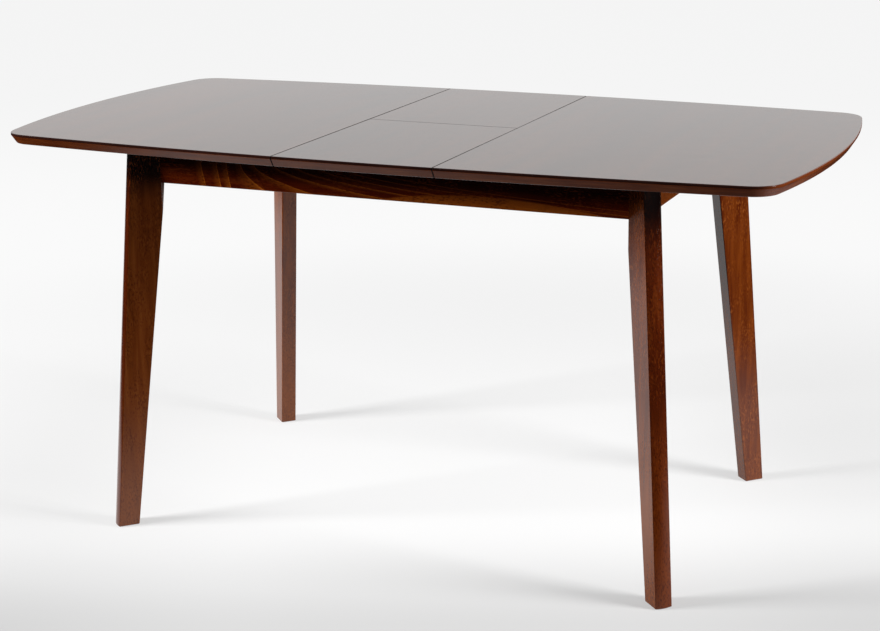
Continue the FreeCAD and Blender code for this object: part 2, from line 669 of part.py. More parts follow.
# ---------------------------------------------------------------- ball slides and battens
channel_screws = []
BALL_COUNT = 3
for side_name, side in SIDES:
    cages = []
    balls = []
    slide_screws = []
    for end_name, end in ENDS:
        tag = f"{end_name}_{side_name}"

        # channel: back plate on the apron, two lips and the stop at its outer end
        name = f"slide_channel_{tag}"
        run = side_span(side, "channel_start", "channel_end")
        lips = side_span(end, "long_inner - channel_lip", "long_inner")
        plate = side_span(end, "long_inner - slide_sheet", "long_inner")
        stop = side_span(side, "channel_stop", "channel_end")
        stop_lip = side_span(end, "batten_face + stop_clearance", "long_inner")
        channel = joined(name + "_blank", [
            bar(name + "_plate", run, plate, ("slide_bottom", "slide_top")),
            bar(name + "_upper", run, lips, ("slide_top - slide_sheet", "slide_top")),
            bar(name + "_lower", run, lips, ("slide_bottom", "slide_bottom + slide_sheet")),
            bar(name + "_stop", stop, stop_lip, ("slide_bottom", "slide_top")),
        ])
        stations = ("channel_start + channel_screw_inset", "(channel_start + member_start) / 2",
                    "channel_stop - channel_screw_inset")
        depth = side_span(end, "long_inner - slide_sheet", "long_inner + short_bite")
        for count, station in enumerate(stations):
            point = (f"{side} * ({station})", depth[0], "slide_middle")
            length = "slide_sheet + short_bite"
            shank = rod(f"channel_screw_shank_{tag}_{count}", "screw_radius", length, point, TURNS["y"])
            bore = rod(f"channel_screw_bore_{tag}_{count}", "screw_radius + hole_clearance", length,
                       point, TURNS["y"])
            drill(name, bore)
            drill(f"apron_{end_name}", bore)
            channel_screws.append(shank)
        finished(name, channel)

        # member: back plate on the batten, two lips towards the apron
        name = f"slide_member_{tag}"
        run = side_span(side, "member_start", "member_end")
        lips = side_span(end, "batten_face", "batten_face + member_lip")
        plate = side_span(end, "batten_face", "batten_face + slide_sheet")
        member = joined(name + "_blank", [
            bar(name + "_plate", run, plate, ("member_bottom", "member_top")),
            bar(name + "_upper", run, lips, ("member_top - slide_sheet", "member_top")),
            bar(name + "_lower", run, lips, ("member_bottom", "member_bottom + slide_sheet")),
        ])
        stations = ("member_start + member_screw_inset", "member_end - member_screw_inset")
        for count, station in enumerate(stations):
            seat = (f"{side} * ({station})", f"{end} * (batten_face + slide_sheet)", "slide_middle")
            slide_screws.append(screw(f"member_screw_{tag}_{count}", "y", -end, seat, "slide_sheet",
                                      "short_bite", [name, f"slide_batten_{tag}"]))
        finished(name, member)

        # batten, screwed up into the half top
        name = f"slide_batten_{tag}"
        stations = ("batten_start + batten_screw_inset", "batten_start + batten_length / 2",
                    "batten_start + batten_length - batten_screw_inset")
        for count, station in enumerate(stations):
            seat = (f"{side} * ({station})", f"{end} * batten_middle", "batten_bottom")
            slide_screws.append(screw(f"batten_screw_{tag}_{count}", "z", 1, seat, "batten_depth",
                                      "top_bite", [name, f"top_{side_name}"]))
        batten = bar(name + "_bar", side_span(side, "batten_start", "batten_start + batten_length"),
                     side_span(end, "batten_back", "batten_face"), ("batten_bottom", "top_under"))
        finished(name, batten)

        # ball cage between the channel and the member, and its two rows of balls
        run = side_span(side, "cage_start", "cage_start + cage_length")
        web = side_span(end, "web_middle - cage_sheet / 2", "web_middle + cage_sheet / 2")
        lips = side_span(end, "web_middle + cage_sheet / 2 - cage_lip", "web_middle + cage_sheet / 2")
        strips = [bar(f"cage_web_{tag}", run, web, ("lower_balls", "upper_balls"))]
        holes = []
        for row in ("upper_balls", "lower_balls"):
            level = (f"{row} - cage_sheet / 2", f"{row} + cage_sheet / 2")
            strips.append(bar(f"cage_{row}_{tag}", run, lips, level))
            for count in range(BALL_COUNT):
                centre = (f"{side} * (cage_start + ball_inset + {count} * ball_pitch)",
                          f"{end} * ball_line", row)
                ball = doc.addObject("Part::Sphere", f"ball_{row}_{tag}_{count}")
                ball.setExpression("Radius", bound("ball_radius"))
                balls.append(moved_to(ball, centre))
                below = (centre[0], centre[1], f"{row} - ball_radius")
                holes.append(rod(f"ball_hole_{row}_{tag}_{count}", "ball_radius + ball_play",
                                 "2 * ball_radius", below, UPRIGHT))
        cages.append(less(f"cage_{tag}", joined(f"cage_strip_{tag}", strips), holes))
    kept_group(f"ball_cages_{side_name}", cages)
    kept_group(f"slide_balls_{side_name}", balls)
    kept_group(f"slide_screws_{side_name}", slide_screws)
kept_group("channel_screws", channel_screws)

# ---------------------------------------------------------------- aprons
def apron_blank(name, inner, face, length, angle):
    """board on edge with eased lower edges, sketched at the back and turned to its side"""
    body = doc.addObject("PartDesign::Body", name + "_board")
    section = polygon(body, name + "_section", "YZ_Plane", [
        (inner, "apron_bottom"),
        (face, "apron_bottom"),
        (face, "frame_top"),
        (inner, "frame_top"),
    ])
    board = pad(body, section, length, "Symmetric")
    lower = number("apron_bottom")
    rounded(body, board, lambda point: near(point.z, lower), "apron_arris")
    moved_to(body, ("0", "0", "0"), corner_turn(angle))
    return body


for end_name, angle in (("back", 0), ("front", 180)):
    name = f"apron_{end_name}"
    finished(name, apron_blank(name, "long_inner", "long_face", "long_apron_length", angle))
for side_name, angle in (("left", 90), ("right", 270)):
    name = f"apron_{side_name}"
    finished(name, apron_blank(name, "short_inner", "short_face", "short_apron_length", angle))

# ---------------------------------------------------------------- seam dowels
for side_name, side in SIDES:
    dowels = []
    for end_name, end in ENDS:
        tag = f"{end_name}_{side_name}"
        station = f"{end} * dowel_station"
        span = side_span(side, "top_inner - dowel_reach", "top_inner + dowel_grip")
        at = (span[0], station, "dowel_height")
        length = "dowel_reach + dowel_grip"
        dowels.append(rod(f"dowel_{tag}", "dowel_radius", length, at, TURNS["x"]))
        drill(f"top_{side_name}", rod(f"dowel_bore_{tag}", "dowel_radius + hole_clearance",
                                      length, at, TURNS["x"]))
        # notch in the leaf's edge, open below so that the leaf lifts off
        round_span = side_span(side, "top_inner - dowel_reach - notch_play", f"half_leaf + {PAST}")
        round_length = f"{round_span[1]} - ({round_span[0]})"
        leaf = f"leaf_{end_name}"
        drill(leaf, rod(f"notch_round_{tag}", "dowel_radius + notch_play", round_length,
                        (round_span[0], station, "dowel_height"), TURNS["x"]))
        width = "(dowel_radius + notch_play)"
        way_span = (f"{station} - {width}", f"{station} + {width}")
        drill(leaf, bar(f"notch_way_{tag}", round_span, way_span,
                        (f"top_under - {PAST}", "dowel_height")))
    kept_group(f"seam_dowels_{side_name}", dowels)

# ---------------------------------------------------------------- fold hinges
hinge_links = []
for end_name, end in ENDS:
    barrels = []
    for side_name, side in SIDES:
        tag = f"{end_name}_{side_name}"
        middle = f"{side} * hinge_station"
        depth = side_span(end, "half_fold", "half_fold + barrel_length")
        barrel = rod(f"barrel_{tag}", "barrel_radius", "barrel_length",
                     (middle, depth[0], "barrel_height"), TURNS["y"])
        slot = bar(f"barrel_slot_{tag}", (f"{middle} - barrel_slot / 2", f"{middle} + barrel_slot / 2"),
                   side_span(end, "0", "link_radius + link_play"),
                   (f"barrel_height - barrel_radius - {PAST}", f"barrel_height + barrel_radius + {PAST}"))
        beside = f"{middle} + {end} * (link_thickness + tongue_thickness + 2 * tongue_play) / 2"
        tongue = bar(f"tongue_{tag}",
                     (f"{beside} - tongue_thickness / 2", f"{beside} + tongue_thickness / 2"),
                     side_span(end, "-tongue_reach", "barrel_length - tongue_setback"),
                     ("barrel_height - tongue_height / 2", "barrel_height + tongue_height / 2"))
        slotted = less(f"barrel_slotted_{tag}", barrel, [slot])
        barrels.append(joined(f"hinge_barrel_{tag}", [slotted, tongue]))
        depth = side_span(end, f"half_fold - {PAST}", "half_fold + barrel_length + barrel_end_play")
        drill(f"leaf_{end_name}", rod(f"barrel_bore_{tag}", "barrel_radius + hole_clearance",
                                      f"{depth[1]} - ({depth[0]})", (middle, depth[0], "barrel_height"),
                                      TURNS["y"]))
    kept_group(f"fold_hinge_{end_name}", barrels)
for side_name, side in SIDES:
    middle = f"{side} * hinge_station"
    disc = rod(f"link_disc_{side_name}", "link_radius", "link_thickness",
               (f"{middle} - link_thickness / 2", "0", "fold_axis"), TURNS["x"])
    trim = bar(f"link_trim_{side_name}", (f"{middle} - link_thickness", f"{middle} + link_thickness"),
               (f"-link_radius - {PAST}", f"link_radius + {PAST}"),
               ("fold_axis - link_drop", f"fold_axis + link_radius + {PAST}"))
    hinge_links.append(less(f"hinge_link_{side_name}", disc, [trim]))
kept_group("fold_hinge_links", hinge_links)

# ---------------------------------------------------------------- leaf cleats
cleats = []
cleat_screws = []
for side_name, side in SIDES:
    cleat = bar(f"leaf_cleat_bar_{side_name}", side_span(side, "cleat_inner", "cleat_outer"),
                ("-leaf_cleat_start - leaf_cleat_length", "-leaf_cleat_start"),
                ("cleat_bottom", "top_under"))
    stations = ("leaf_cleat_start + cleat_screw_inset", "leaf_cleat_start + cleat_screw_middle",
                "leaf_cleat_start + leaf_cleat_length - cleat_screw_inset")
    for count, station in enumerate(stations):
        seat = (f"{side} * (cleat_inner + cleat_outer) / 2", f"-({station})", "cleat_bottom")
        cleat_screws.append(screw(f"cleat_screw_{side_name}_{count}", "z", 1, seat,
                                  "leaf_cleat_thickness", "top_bite",
                                  [f"leaf_cleat_{side_name}", "leaf_front"]))
    cleats.append(less(f"leaf_cleat_{side_name}", cleat, drilled[f"leaf_cleat_{side_name}"]))
kept_group("leaf_cleats", cleats)
kept_group("cleat_screws", cleat_screws)


# ---------------------------------------------------------------- top and leaf
def top_outline(body):
    """bowed boat outline: two long arcs and two end arcs, blended at the corners"""
    sketch = sketch_on(body, "top_outline", "XY_Plane")
    side_radius = number("side_arc_radius")
    end_radius = number("end_arc_radius")
    blend = number("corner_radius")
    side_drop = number("half_width") - side_radius
    end_back = number("top_tip") - end_radius
    # centre of the blend at the corner x > 0, y > 0, from the two arcs it touches
    reach_side = side_radius - blend
    reach_end = end_radius - blend
    apart = math.hypot(end_back, side_drop)
    foot = (reach_side**2 - reach_end**2 + apart**2) / (2 * apart)
    height = math.sqrt(reach_side**2 - foot**2)
    along_x = end_back / apart
    along_y = -side_drop / apart
    blend_x = foot * along_x - height * along_y
    blend_y = side_drop + foot * along_y + height * along_x
    if blend_x < 0 or blend_y < 0:
        blend_x = foot * along_x + height * along_y
        blend_y = side_drop + foot * along_y - height * along_x
    from_side = math.atan2(blend_y - side_drop, blend_x)
    from_end = math.atan2(blend_y, blend_x - end_back)
    half_turn = math.pi
    arcs = [
        (end_back, 0, end_radius, -from_end, from_end),
        (blend_x, blend_y, blend, from_end, from_side),
        (0, side_drop, side_radius, from_side, half_turn - from_side),
        (-blend_x, blend_y, blend, half_turn - from_side, half_turn - from_end),
        (-end_back, 0, end_radius, half_turn - from_end, half_turn + from_end),
        (-blend_x, -blend_y, blend, half_turn + from_end, half_turn + from_side),
        (0, -side_drop, side_radius, half_turn + from_side, 2 * half_turn - from_side),
        (blend_x, -blend_y, blend, 2 * half_turn - from_side, 2 * half_turn - from_end),
    ]
    normal = FreeCAD.Vector(0, 0, 1)
    for x, y, radius, start, stop in arcs:
        circle = Part.Circle(FreeCAD.Vector(x, y, 0), normal, radius)
        sketch.addGeometry(Part.ArcOfCircle(circle, start, stop), False)
    count = len(arcs)
    for place in range(count):
        sketch.addConstraint(Sketcher.Constraint("Tangent", place, 2, (place + 1) % count, 1))
    names = ["end_arc_radius", "corner_radius", "side_arc_radius", "corner_radius"]
    for place in range(count):
        tie(sketch, "Radius", names[place % len(names)], place)
    # the four large arcs keep their centres on the middle lines, at the set reach
    for place, x, y in ((0, "end_centre", "0"), (4, "far_end_centre", "0"),
                        (2, "0", "side_centre"), (6, "0", "far_side_centre")):
        tie(sketch, "DistanceX", x, -1, 1, place, 3)
        tie(sketch, "DistanceY", y, -1, 1, place, 3)
    return sketch


def top_blank():
    """the whole top in one, before it is parted into half tops and leaf"""
    body = doc.addObject("PartDesign::Body", "top_blank")
    slab = pad(body, top_outline(body), "top_thickness")
    height = number("top_thickness")
    upper = rounded(body, slab, lambda point: near(point.z, height), "top_arris")
    doc.recompute()
    bevel = body.newObject("PartDesign::Chamfer", "top_bevel")
    bevel.Base = (upper, edges_where(upper.Shape, lambda point: near(point.z, 0)))
    bevel.ChamferType = "Two distances"
    bevel.Size = number("bevel_height")
    bevel.Size2 = number("edge_undercut")
    bevel.setExpression("Size", bound("bevel_height"))
    bevel.setExpression("Size2", bound("edge_undercut"))
    doc.recompute()
    under = [face for face in bevel.Shape.Faces if near(face.BoundBox.ZMax, 0)][0]
    if not near(under.BoundBox.XMax, number("top_tip") - number("edge_undercut")):
        bevel.FlipDirection = True
        doc.recompute()
    moved_to(body, ("0", "0", "top_under"))
    return body


def parted(name, blank, along, across):
    """the part of the whole top that lies within the limits"""
    window = bar(name + "_window", along, across,
                 (f"top_under - {PAST}", f"table_height + {PAST}"))
    piece = doc.addObject("Part::Common", name + "_blank")
    piece.Base = blank
    piece.Tool = window
    return finished(name, piece)


whole_top = top_blank()
full_width = ("-top_width", "top_width")
for side_name, side in SIDES:
    parted(f"top_{side_name}", whole_top, side_span(side, "top_inner", f"top_tip + {PAST}"), full_width)
for end_name, end in ENDS:
    parted(f"leaf_{end_name}", whole_top, ("-half_leaf", "half_leaf"),
           side_span(end, "half_fold", "top_width"))

# ---------------------------------------------------------------- check and write
doc.recompute()
for item in doc.Objects:
    if "Invalid" in item.State or "Error" in item.State:
        raise RuntimeError(f"{item.Label}: {item.State}")
for node in nodes:
    if node.Shape.isNull() or not node.Shape.isValid() or not node.Shape.Solids:
        raise RuntimeError(f"{node.Label}: no valid solid")

os.makedirs("parts", exist_ok=True)
for node in nodes:
    node.Shape.exportStep(f"parts/{node.Label}.step")
    print(f"{node.Label}: {len(node.Shape.Solids)} solid(s), {node.Shape.Volume:.0f} mm3")
print(len(nodes), "nodes")
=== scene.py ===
import json
import math

import bpy
from mathutils import Matrix, Vector

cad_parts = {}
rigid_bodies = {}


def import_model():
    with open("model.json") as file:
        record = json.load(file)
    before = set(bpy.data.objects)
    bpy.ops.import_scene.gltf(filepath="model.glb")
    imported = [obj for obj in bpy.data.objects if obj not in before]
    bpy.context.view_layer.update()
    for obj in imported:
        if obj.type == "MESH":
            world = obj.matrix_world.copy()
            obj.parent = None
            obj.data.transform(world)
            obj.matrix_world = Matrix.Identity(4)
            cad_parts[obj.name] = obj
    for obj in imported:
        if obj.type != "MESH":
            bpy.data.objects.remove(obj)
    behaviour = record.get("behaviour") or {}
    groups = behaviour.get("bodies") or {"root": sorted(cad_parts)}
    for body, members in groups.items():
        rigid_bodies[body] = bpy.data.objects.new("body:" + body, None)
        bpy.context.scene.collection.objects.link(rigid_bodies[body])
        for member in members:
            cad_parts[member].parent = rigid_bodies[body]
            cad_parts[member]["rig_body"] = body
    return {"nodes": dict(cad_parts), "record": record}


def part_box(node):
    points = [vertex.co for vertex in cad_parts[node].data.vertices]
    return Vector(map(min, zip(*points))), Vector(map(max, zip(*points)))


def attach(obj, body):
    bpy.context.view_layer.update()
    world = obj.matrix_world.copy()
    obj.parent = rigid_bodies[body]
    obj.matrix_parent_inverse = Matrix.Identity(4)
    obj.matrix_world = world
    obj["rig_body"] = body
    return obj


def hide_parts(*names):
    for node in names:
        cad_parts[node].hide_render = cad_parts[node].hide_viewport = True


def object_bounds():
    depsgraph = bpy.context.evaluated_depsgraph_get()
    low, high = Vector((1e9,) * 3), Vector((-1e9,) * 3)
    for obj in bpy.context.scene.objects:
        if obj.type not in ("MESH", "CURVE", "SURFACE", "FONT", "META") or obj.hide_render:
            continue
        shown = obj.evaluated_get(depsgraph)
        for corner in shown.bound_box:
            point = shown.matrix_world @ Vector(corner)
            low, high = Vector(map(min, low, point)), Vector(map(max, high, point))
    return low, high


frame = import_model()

cad_low, cad_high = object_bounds()

# Extending table with a folding leaf, dressed over its solids. Metres, +Z up, origin on the floor.
MM = 0.001

# ---------------------------------------------------------------- sizes read from the solids
TOP_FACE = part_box("top_right")[1].z
TOP_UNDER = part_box("top_right")[0].z
TOP_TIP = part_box("top_right")[1].x
SEAM_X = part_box("top_right")[0].x
LEAF_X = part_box("leaf_front")[1].x
HALF_FOLD = -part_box("leaf_front")[1].y
HALF_WIDTH = cad_high.y
APRON_BOTTOM, FRAME_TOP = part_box("apron_front")[0].z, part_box("apron_front")[1].z
FLAT_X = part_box("apron_back")[1].x
FLAT_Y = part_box("apron_right")[1].y
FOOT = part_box("leg_front_right")[0].z

# ---------------------------------------------------------------- sizes the solids' boxes don't give
SIDE_RADIUS, END_RADIUS, CORNER_RADIUS = 7400 * MM, 1600 * MM, 55 * MM
SIDE_STEPS, END_STEPS, CORNER_STEPS = 80, 48, 20
BAND = 5 * MM
UNDERCUT = 9 * MM
TOP_ARRIS = 1.6 * MM
LOWER_ARRIS = 0.9 * MM
BAND_ARRIS = 0.4 * MM
SEAM_ARRIS = 0.8 * MM
DOWEL_Y, DOWEL_Z = 320 * MM, 740.5 * MM
NOTCH_RADIUS, NOTCH_DEPTH = 4.3 * MM, 11.3 * MM
HINGE_X, HINGE_Z = 90 * MM, 740 * MM
BORE_RADIUS, BORE_DEPTH = 7.05 * MM, 18.3 * MM
LEG_THICKNESS, LEG_SPLAY = 32 * MM, 66 * MM
LEG_TOP_REACH, LEG_TOP_DEPTH, LEG_FOOT_DEPTH = 69 * MM, 71 * MM, 41.5 * MM
CROWN_RADIUS, CROWN_ARRIS, CROWN_STEPS = 50 * MM, 1.2 * MM, 14
LEG_ARRIS, FOOT_ARRIS, APRON_ARRIS = 2 * MM, 1 * MM, 1.5 * MM
HEAD_RADIUS, HEAD_HEIGHT, SHANK_RADIUS = 3.75 * MM, 2.15 * MM, 1.95 * MM
HEAD_ROUND, RECESS_REACH, RECESS_HALF, RECESS_FLOOR = 1.2 * MM, 2.2 * MM, 0.45 * MM, 0.7 * MM
SHOULDER, POINT_LENGTH, POINT_TAPER = MM, 4 * MM, 0.12
SCREWS = ("corner_block_screws", "strap_screws", "cleat_screws", "slide_screws_left", "slide_screws_right")

# limits that tell edges and points apart: a leg's long corner, a rail's length, a screw's head, and points
# that count as one
LONG_EDGE, RAIL_EDGE = 0.5, 0.1
HEAD_EDGE = HEAD_RADIUS * 0.95
WELD, SAME_POINT = MM / 20, 0.01 * MM
SMOOTH_DEGREES = 30

ENDS = (("front", -1), ("back", 1))
SIDES = (("left", -1), ("right", 1))
CORNERS = {"front_left": 225, "front_right": 315, "back_left": 135, "back_right": 45}


# ---------------------------------------------------------------- modelling helpers
def only(piece):
    """nothing but this piece is selected and active"""
    bpy.ops.object.select_all(action="DESELECT")
    piece.select_set(True)
    bpy.context.view_layer.objects.active = piece


def edit(piece, kind="FACE"):
    """into edit mode with nothing selected"""
    only(piece)
    bpy.ops.object.mode_set(mode="EDIT")
    bpy.ops.mesh.select_mode(type=kind)
    bpy.ops.mesh.select_all(action="DESELECT")


def leave():
    """out of edit mode"""
    bpy.ops.object.mode_set(mode="OBJECT")


def pick(kind, test):
    """selects the vertices, edges or faces that pass the test; an edge is tested by its two ends"""
    piece = bpy.context.object
    leave()
    mesh = piece.data
    for group in (mesh.vertices, mesh.edges, mesh.polygons):
        group.foreach_set("select", [False] * len(group))
    if kind == "VERT":
        for vertex in mesh.vertices:
            vertex.select = test(vertex.co)
    elif kind == "EDGE":
        for edge in mesh.edges:
            edge.select = test(*(mesh.vertices[i].co for i in edge.vertices))
    else:
        for face in mesh.polygons:
            face.select = test(face.center, face.normal)
    bpy.ops.object.mode_set(mode="EDIT")
    bpy.ops.mesh.select_mode(type=kind)


def near(first, second, slack=1e-5):
    """the same number, give or take"""
    return abs(first - second) < slack


def on_flat(axis, place):
    """test for the edges that lie in a flat square to the axis"""
    number = "xyz".index(axis)
    return lambda a, b: near(a[number], place) and near(b[number], place)


def apply(piece, kind, **settings):
    """adds a modifier and applies it"""
    only(piece)
    modifier = piece.modifiers.new(kind.title(), kind)
    for name, value in settings.items():
        setattr(modifier, name, value)
    bpy.ops.object.modifier_apply(modifier=modifier.name)


def shaded(piece):
    """smooth faces with sharp edges past an angle, and flats that stay flat beside an arris"""
    only(piece)
    bpy.ops.object.shade_smooth_by_angle(angle=math.radians(SMOOTH_DEGREES))
    apply(piece, "WEIGHTED_NORMAL", keep_sharp=True, weight=100)


def named(piece, name):
    """the object and its mesh take the name"""
    piece.name = name
    piece.data.name = name
    return piece


def copied(piece, name):
    """a twin with a mesh of its own"""
    twin = piece.copy()
    twin.data = piece.data.copy()
    bpy.context.scene.collection.objects.link(twin)
    return named(twin, name)


def settled(piece):
    """the object's own turn and place go into its mesh"""
    only(piece)
    bpy.ops.object.transform_apply(location=True, rotation=True, scale=True)


def block(name, low, high):
    """box between two corners"""
    low, high = Vector(low), Vector(high)
    bpy.ops.object.select_all(action="DESELECT")
    bpy.ops.mesh.primitive_cube_add(size=1, location=(low + high) / 2)
    piece = named(bpy.context.object, name)
    piece.scale = high - low
    settled(piece)
    return piece


def rod(name, start, end, radius, sides=48):
    """round bar between two points"""
    start, end = Vector(start), Vector(end)
    bpy.ops.object.select_all(action="DESELECT")
    bpy.ops.mesh.primitive_cylinder_add(vertices=sides, radius=radius, depth=(end - start).length)
    piece = named(bpy.context.object, name)
    piece.rotation_euler = (end - start).to_track_quat("Z", "Y").to_euler()
    piece.location = (start + end) / 2
    settled(piece)
    return piece


def point_piece(name, place):
    """a mesh of one point, ready to be drawn out in edit mode"""
    bpy.ops.object.select_all(action="DESELECT")
    bpy.ops.mesh.primitive_plane_add(size=MM, location=place)
    piece = named(bpy.context.object, name)
    settled(piece)
    edit(piece, "VERT")
    bpy.ops.mesh.select_all(action="SELECT")
    bpy.ops.mesh.merge(type="CENTER")
    return piece


def drawn_out(offset):
    """extrudes what is selected"""
    bpy.ops.mesh.extrude_region_move(TRANSFORM_OT_translate={"value": offset})


def raised(height):
    """closes the outline that was drawn, fills it and draws it up into a solid"""
    bpy.ops.mesh.select_all(action="SELECT")
    bpy.ops.mesh.remove_doubles(threshold=WELD)
    bpy.ops.mesh.edge_face_add()
    drawn_out((0, 0, height))
    bpy.ops.mesh.select_all(action="SELECT")
    bpy.ops.mesh.normals_make_consistent(inside=False)


def bevelled(test, offset, segments):
    """rounds the edges that pass the test"""
    pick("EDGE", test)
    bpy.ops.mesh.bevel(offset=offset, offset_type="OFFSET", segments=segments, profile=0.5,
                       clamp_overlap=False)


def cut_away(piece, tool):
    """takes the tool's shape out of the piece, and the tool out of the scene"""
    apply(piece, "BOOLEAN", operation="DIFFERENCE", object=tool, solver="EXACT")
    bpy.data.objects.remove(tool)


def as_cad(piece, node, body):
    """the piece stands for the node, and rides with its body"""
    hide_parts(node)
    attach(piece, body)


# ---------------------------------------------------------------- the boat-shaped top
def boat_arcs():
    """centre, turn and steps of each arc in order, and where the first one starts"""
    end_centre = TOP_TIP - END_RADIUS
    side_centre = HALF_WIDTH - SIDE_RADIUS
    apart = math.hypot(end_centre, side_centre)
    reach_side = SIDE_RADIUS - CORNER_RADIUS
    reach_end = END_RADIUS - CORNER_RADIUS
    foot = (reach_side**2 - reach_end**2 + apart**2) / (2 * apart)
    height = math.sqrt(reach_side**2 - foot**2)
    along = Vector((end_centre, -side_centre)) / apart
    across = Vector((-along.y, along.x))
    middle = Vector((0, side_centre)) + along * foot
    corner = max(middle + across * height, middle - across * height, key=lambda point: point.x)
    from_end = math.atan2(corner.y, corner.x - end_centre)
    from_side = math.atan2(corner.y - side_centre, corner.x)
    turn = from_side - from_end
    quarter = [
        (Vector((end_centre, 0)), 2 * from_end, END_STEPS),
        (corner, turn, CORNER_STEPS),
        (Vector((0, side_centre)), math.pi - 2 * from_side, SIDE_STEPS),
        (Vector((-corner.x, corner.y)), turn, CORNER_STEPS),
    ]
    arcs = quarter + [(-centre, angle, steps) for centre, angle, steps in quarter]
    start = Vector((end_centre, 0)) + END_RADIUS * Vector((math.cos(from_end), -math.sin(from_end)))
    return start, arcs


def boat_slab():
    """outline drawn by spinning one point round each arc's centre, then raised, undercut and eased"""
    start, arcs = boat_arcs()
    crease = TOP_FACE - BAND
    slab = point_piece("whole_top", (start.x, start.y, crease))
    for centre, angle, steps in arcs:
        bpy.ops.mesh.spin(steps=steps, angle=angle, center=(centre.x, centre.y, crease), axis=(0, 0, -1))
    raised(BAND)
    pick("FACE", lambda centre, normal: near(centre.z, crease) and near(abs(normal.z), 1))
    bpy.ops.mesh.inset(thickness=UNDERCUT, depth=crease - TOP_UNDER, use_even_offset=True)
    bevelled(on_flat("z", TOP_FACE), TOP_ARRIS, 5)
    bevelled(on_flat("z", crease), BAND_ARRIS, 2)
    bevelled(on_flat("z", TOP_UNDER), LOWER_ARRIS, 3)
    leave()
    return slab


def kept_side(piece, point, normal):
    """cuts the piece at a plane, and keeps what lies on the normal's side"""
    edit(piece)
    bpy.ops.mesh.select_all(action="SELECT")
    bpy.ops.mesh.bisect(plane_co=point, plane_no=normal, use_fill=True, clear_inner=True)
    leave()


def top_piece(name, slab, limits):
    """the slab between the limits, each a flat and the side that is kept, with its sawn edges eased"""
    piece = copied(slab, name)
    for flat, place, side in limits:
        point = Vector([place if axis == flat else 0 for axis in "xyz"])
        normal = Vector([side if axis == flat else 0 for axis in "xyz"])
        kept_side(piece, point, normal)
    edit(piece, "EDGE")
    for flat, place, _ in limits:
        bevelled(on_flat(flat, place), SEAM_ARRIS, 1)
    leave()
    return piece


flats = {f"top_{name}": [("x", side * SEAM_X, side)] for name, side in SIDES}
for name, end in ENDS:
    flats[f"leaf_{name}"] = [("x", -LEAF_X, 1), ("x", LEAF_X, -1), ("y", end * HALF_FOLD, end)]
slab = boat_slab()
tops = {node: top_piece(f"{node}_board", slab, limits) for node, limits in flats.items()}
bpy.data.objects.remove(slab)


def leaf_cuts(leaf, end):
    """round notches, open below, over the halves' dowels, and blind bores for the fold's two hinges"""
    dowel = end * DOWEL_Y
    fold = end * (HALF_FOLD - MM)
    for _, side in SIDES:
        start, mouth = side * (LEAF_X - NOTCH_DEPTH), side * (LEAF_X + MM)
        cut_away(leaf, rod("notch_bit", (start, dowel, DOWEL_Z), (mouth, dowel, DOWEL_Z), NOTCH_RADIUS))
        low = (min(start, mouth), dowel - NOTCH_RADIUS, TOP_UNDER - MM)
        high = (max(start, mouth), dowel + NOTCH_RADIUS, DOWEL_Z)
        cut_away(leaf, block("notch_saw", low, high))
        across = side * HINGE_X
        cut_away(leaf, rod("hinge_bit", (across, fold, HINGE_Z), (across, end * BORE_DEPTH, HINGE_Z),
                           BORE_RADIUS))


for end_name, end in ENDS:
    leaf_cuts(tops[f"leaf_{end_name}"], end)
for node, piece in tops.items():
    shaded(piece)
    as_cad(piece, node, frame["nodes"][node]["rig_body"])


# ---------------------------------------------------------------- legs
def leg_plank():
    """tapered plank that leans out along +X: crowned outer edge, eased inner edge, flats for the rails"""
    half = LEG_THICKNESS / 2
    foot_outer = LEG_TOP_REACH + LEG_SPLAY
    foot_inner = foot_outer - LEG_FOOT_DEPTH
    top_inner = LEG_TOP_REACH - LEG_TOP_DEPTH
    crown_turn = math.asin(half / CROWN_RADIUS)
    crown_centre = foot_outer - CROWN_RADIUS
    corner = crown_centre + CROWN_RADIUS * math.cos(crown_turn)
    leg = point_piece("leg_plank", (corner, -half, FOOT))
    bpy.ops.mesh.spin(steps=CROWN_STEPS, angle=2 * crown_turn, center=(crown_centre, 0, FOOT),
                      axis=(0, 0, -1))
    drawn_out((foot_inner - corner, 0, 0))
    drawn_out((0, -2 * half, 0))
    drawn_out((corner - foot_inner, 0, 0))
    raised(FRAME_TOP - FOOT)
    middle = (foot_outer + foot_inner) / 2
    pick("VERT", lambda place: near(place.z, FRAME_TOP) and place.x > middle)
    bpy.ops.transform.translate(value=(-LEG_SPLAY, 0, 0))
    pick("VERT", lambda place: near(place.z, FRAME_TOP) and near(place.x, foot_inner))
    bpy.ops.transform.translate(value=(top_inner - foot_inner, 0, 0))

    def upright(low, high):
        """long corner edges whose foot lies between two distances"""
        def test(a, b):
            foot = a if a.z < b.z else b
            long = abs(a.z - b.z) > LONG_EDGE and near(abs(foot.y), half)
            return long and low < foot.x < high
        return test

    bevelled(upright(middle, foot_outer), CROWN_ARRIS, 3)
    bevelled(upright(foot_inner - MM, foot_inner + MM), LEG_ARRIS, 3)
    for side in (-1, 1):
        bpy.ops.mesh.select_all(action="SELECT")
        bpy.ops.mesh.bisect(plane_co=(0, 0, 0), plane_no=(1, side, 0), use_fill=True, clear_inner=True)
    bevelled(on_flat("z", FOOT), FOOT_ARRIS, 3)
    leave()
    return leg


plank = leg_plank()
legs = {}
for corner, angle in CORNERS.items():
    leg = copied(plank, f"{corner}_leg")
    side_x = 1 if "right" in corner else -1
    side_y = 1 if "back" in corner else -1
    leg.rotation_euler.z = math.radians(angle)
    leg.location = (side_x * FLAT_X, side_y * FLAT_Y, 0)
    settled(leg)
    shaded(leg)
    as_cad(leg, f"leg_{corner}", "frame")
    legs[corner] = leg
bpy.data.objects.remove(plank)

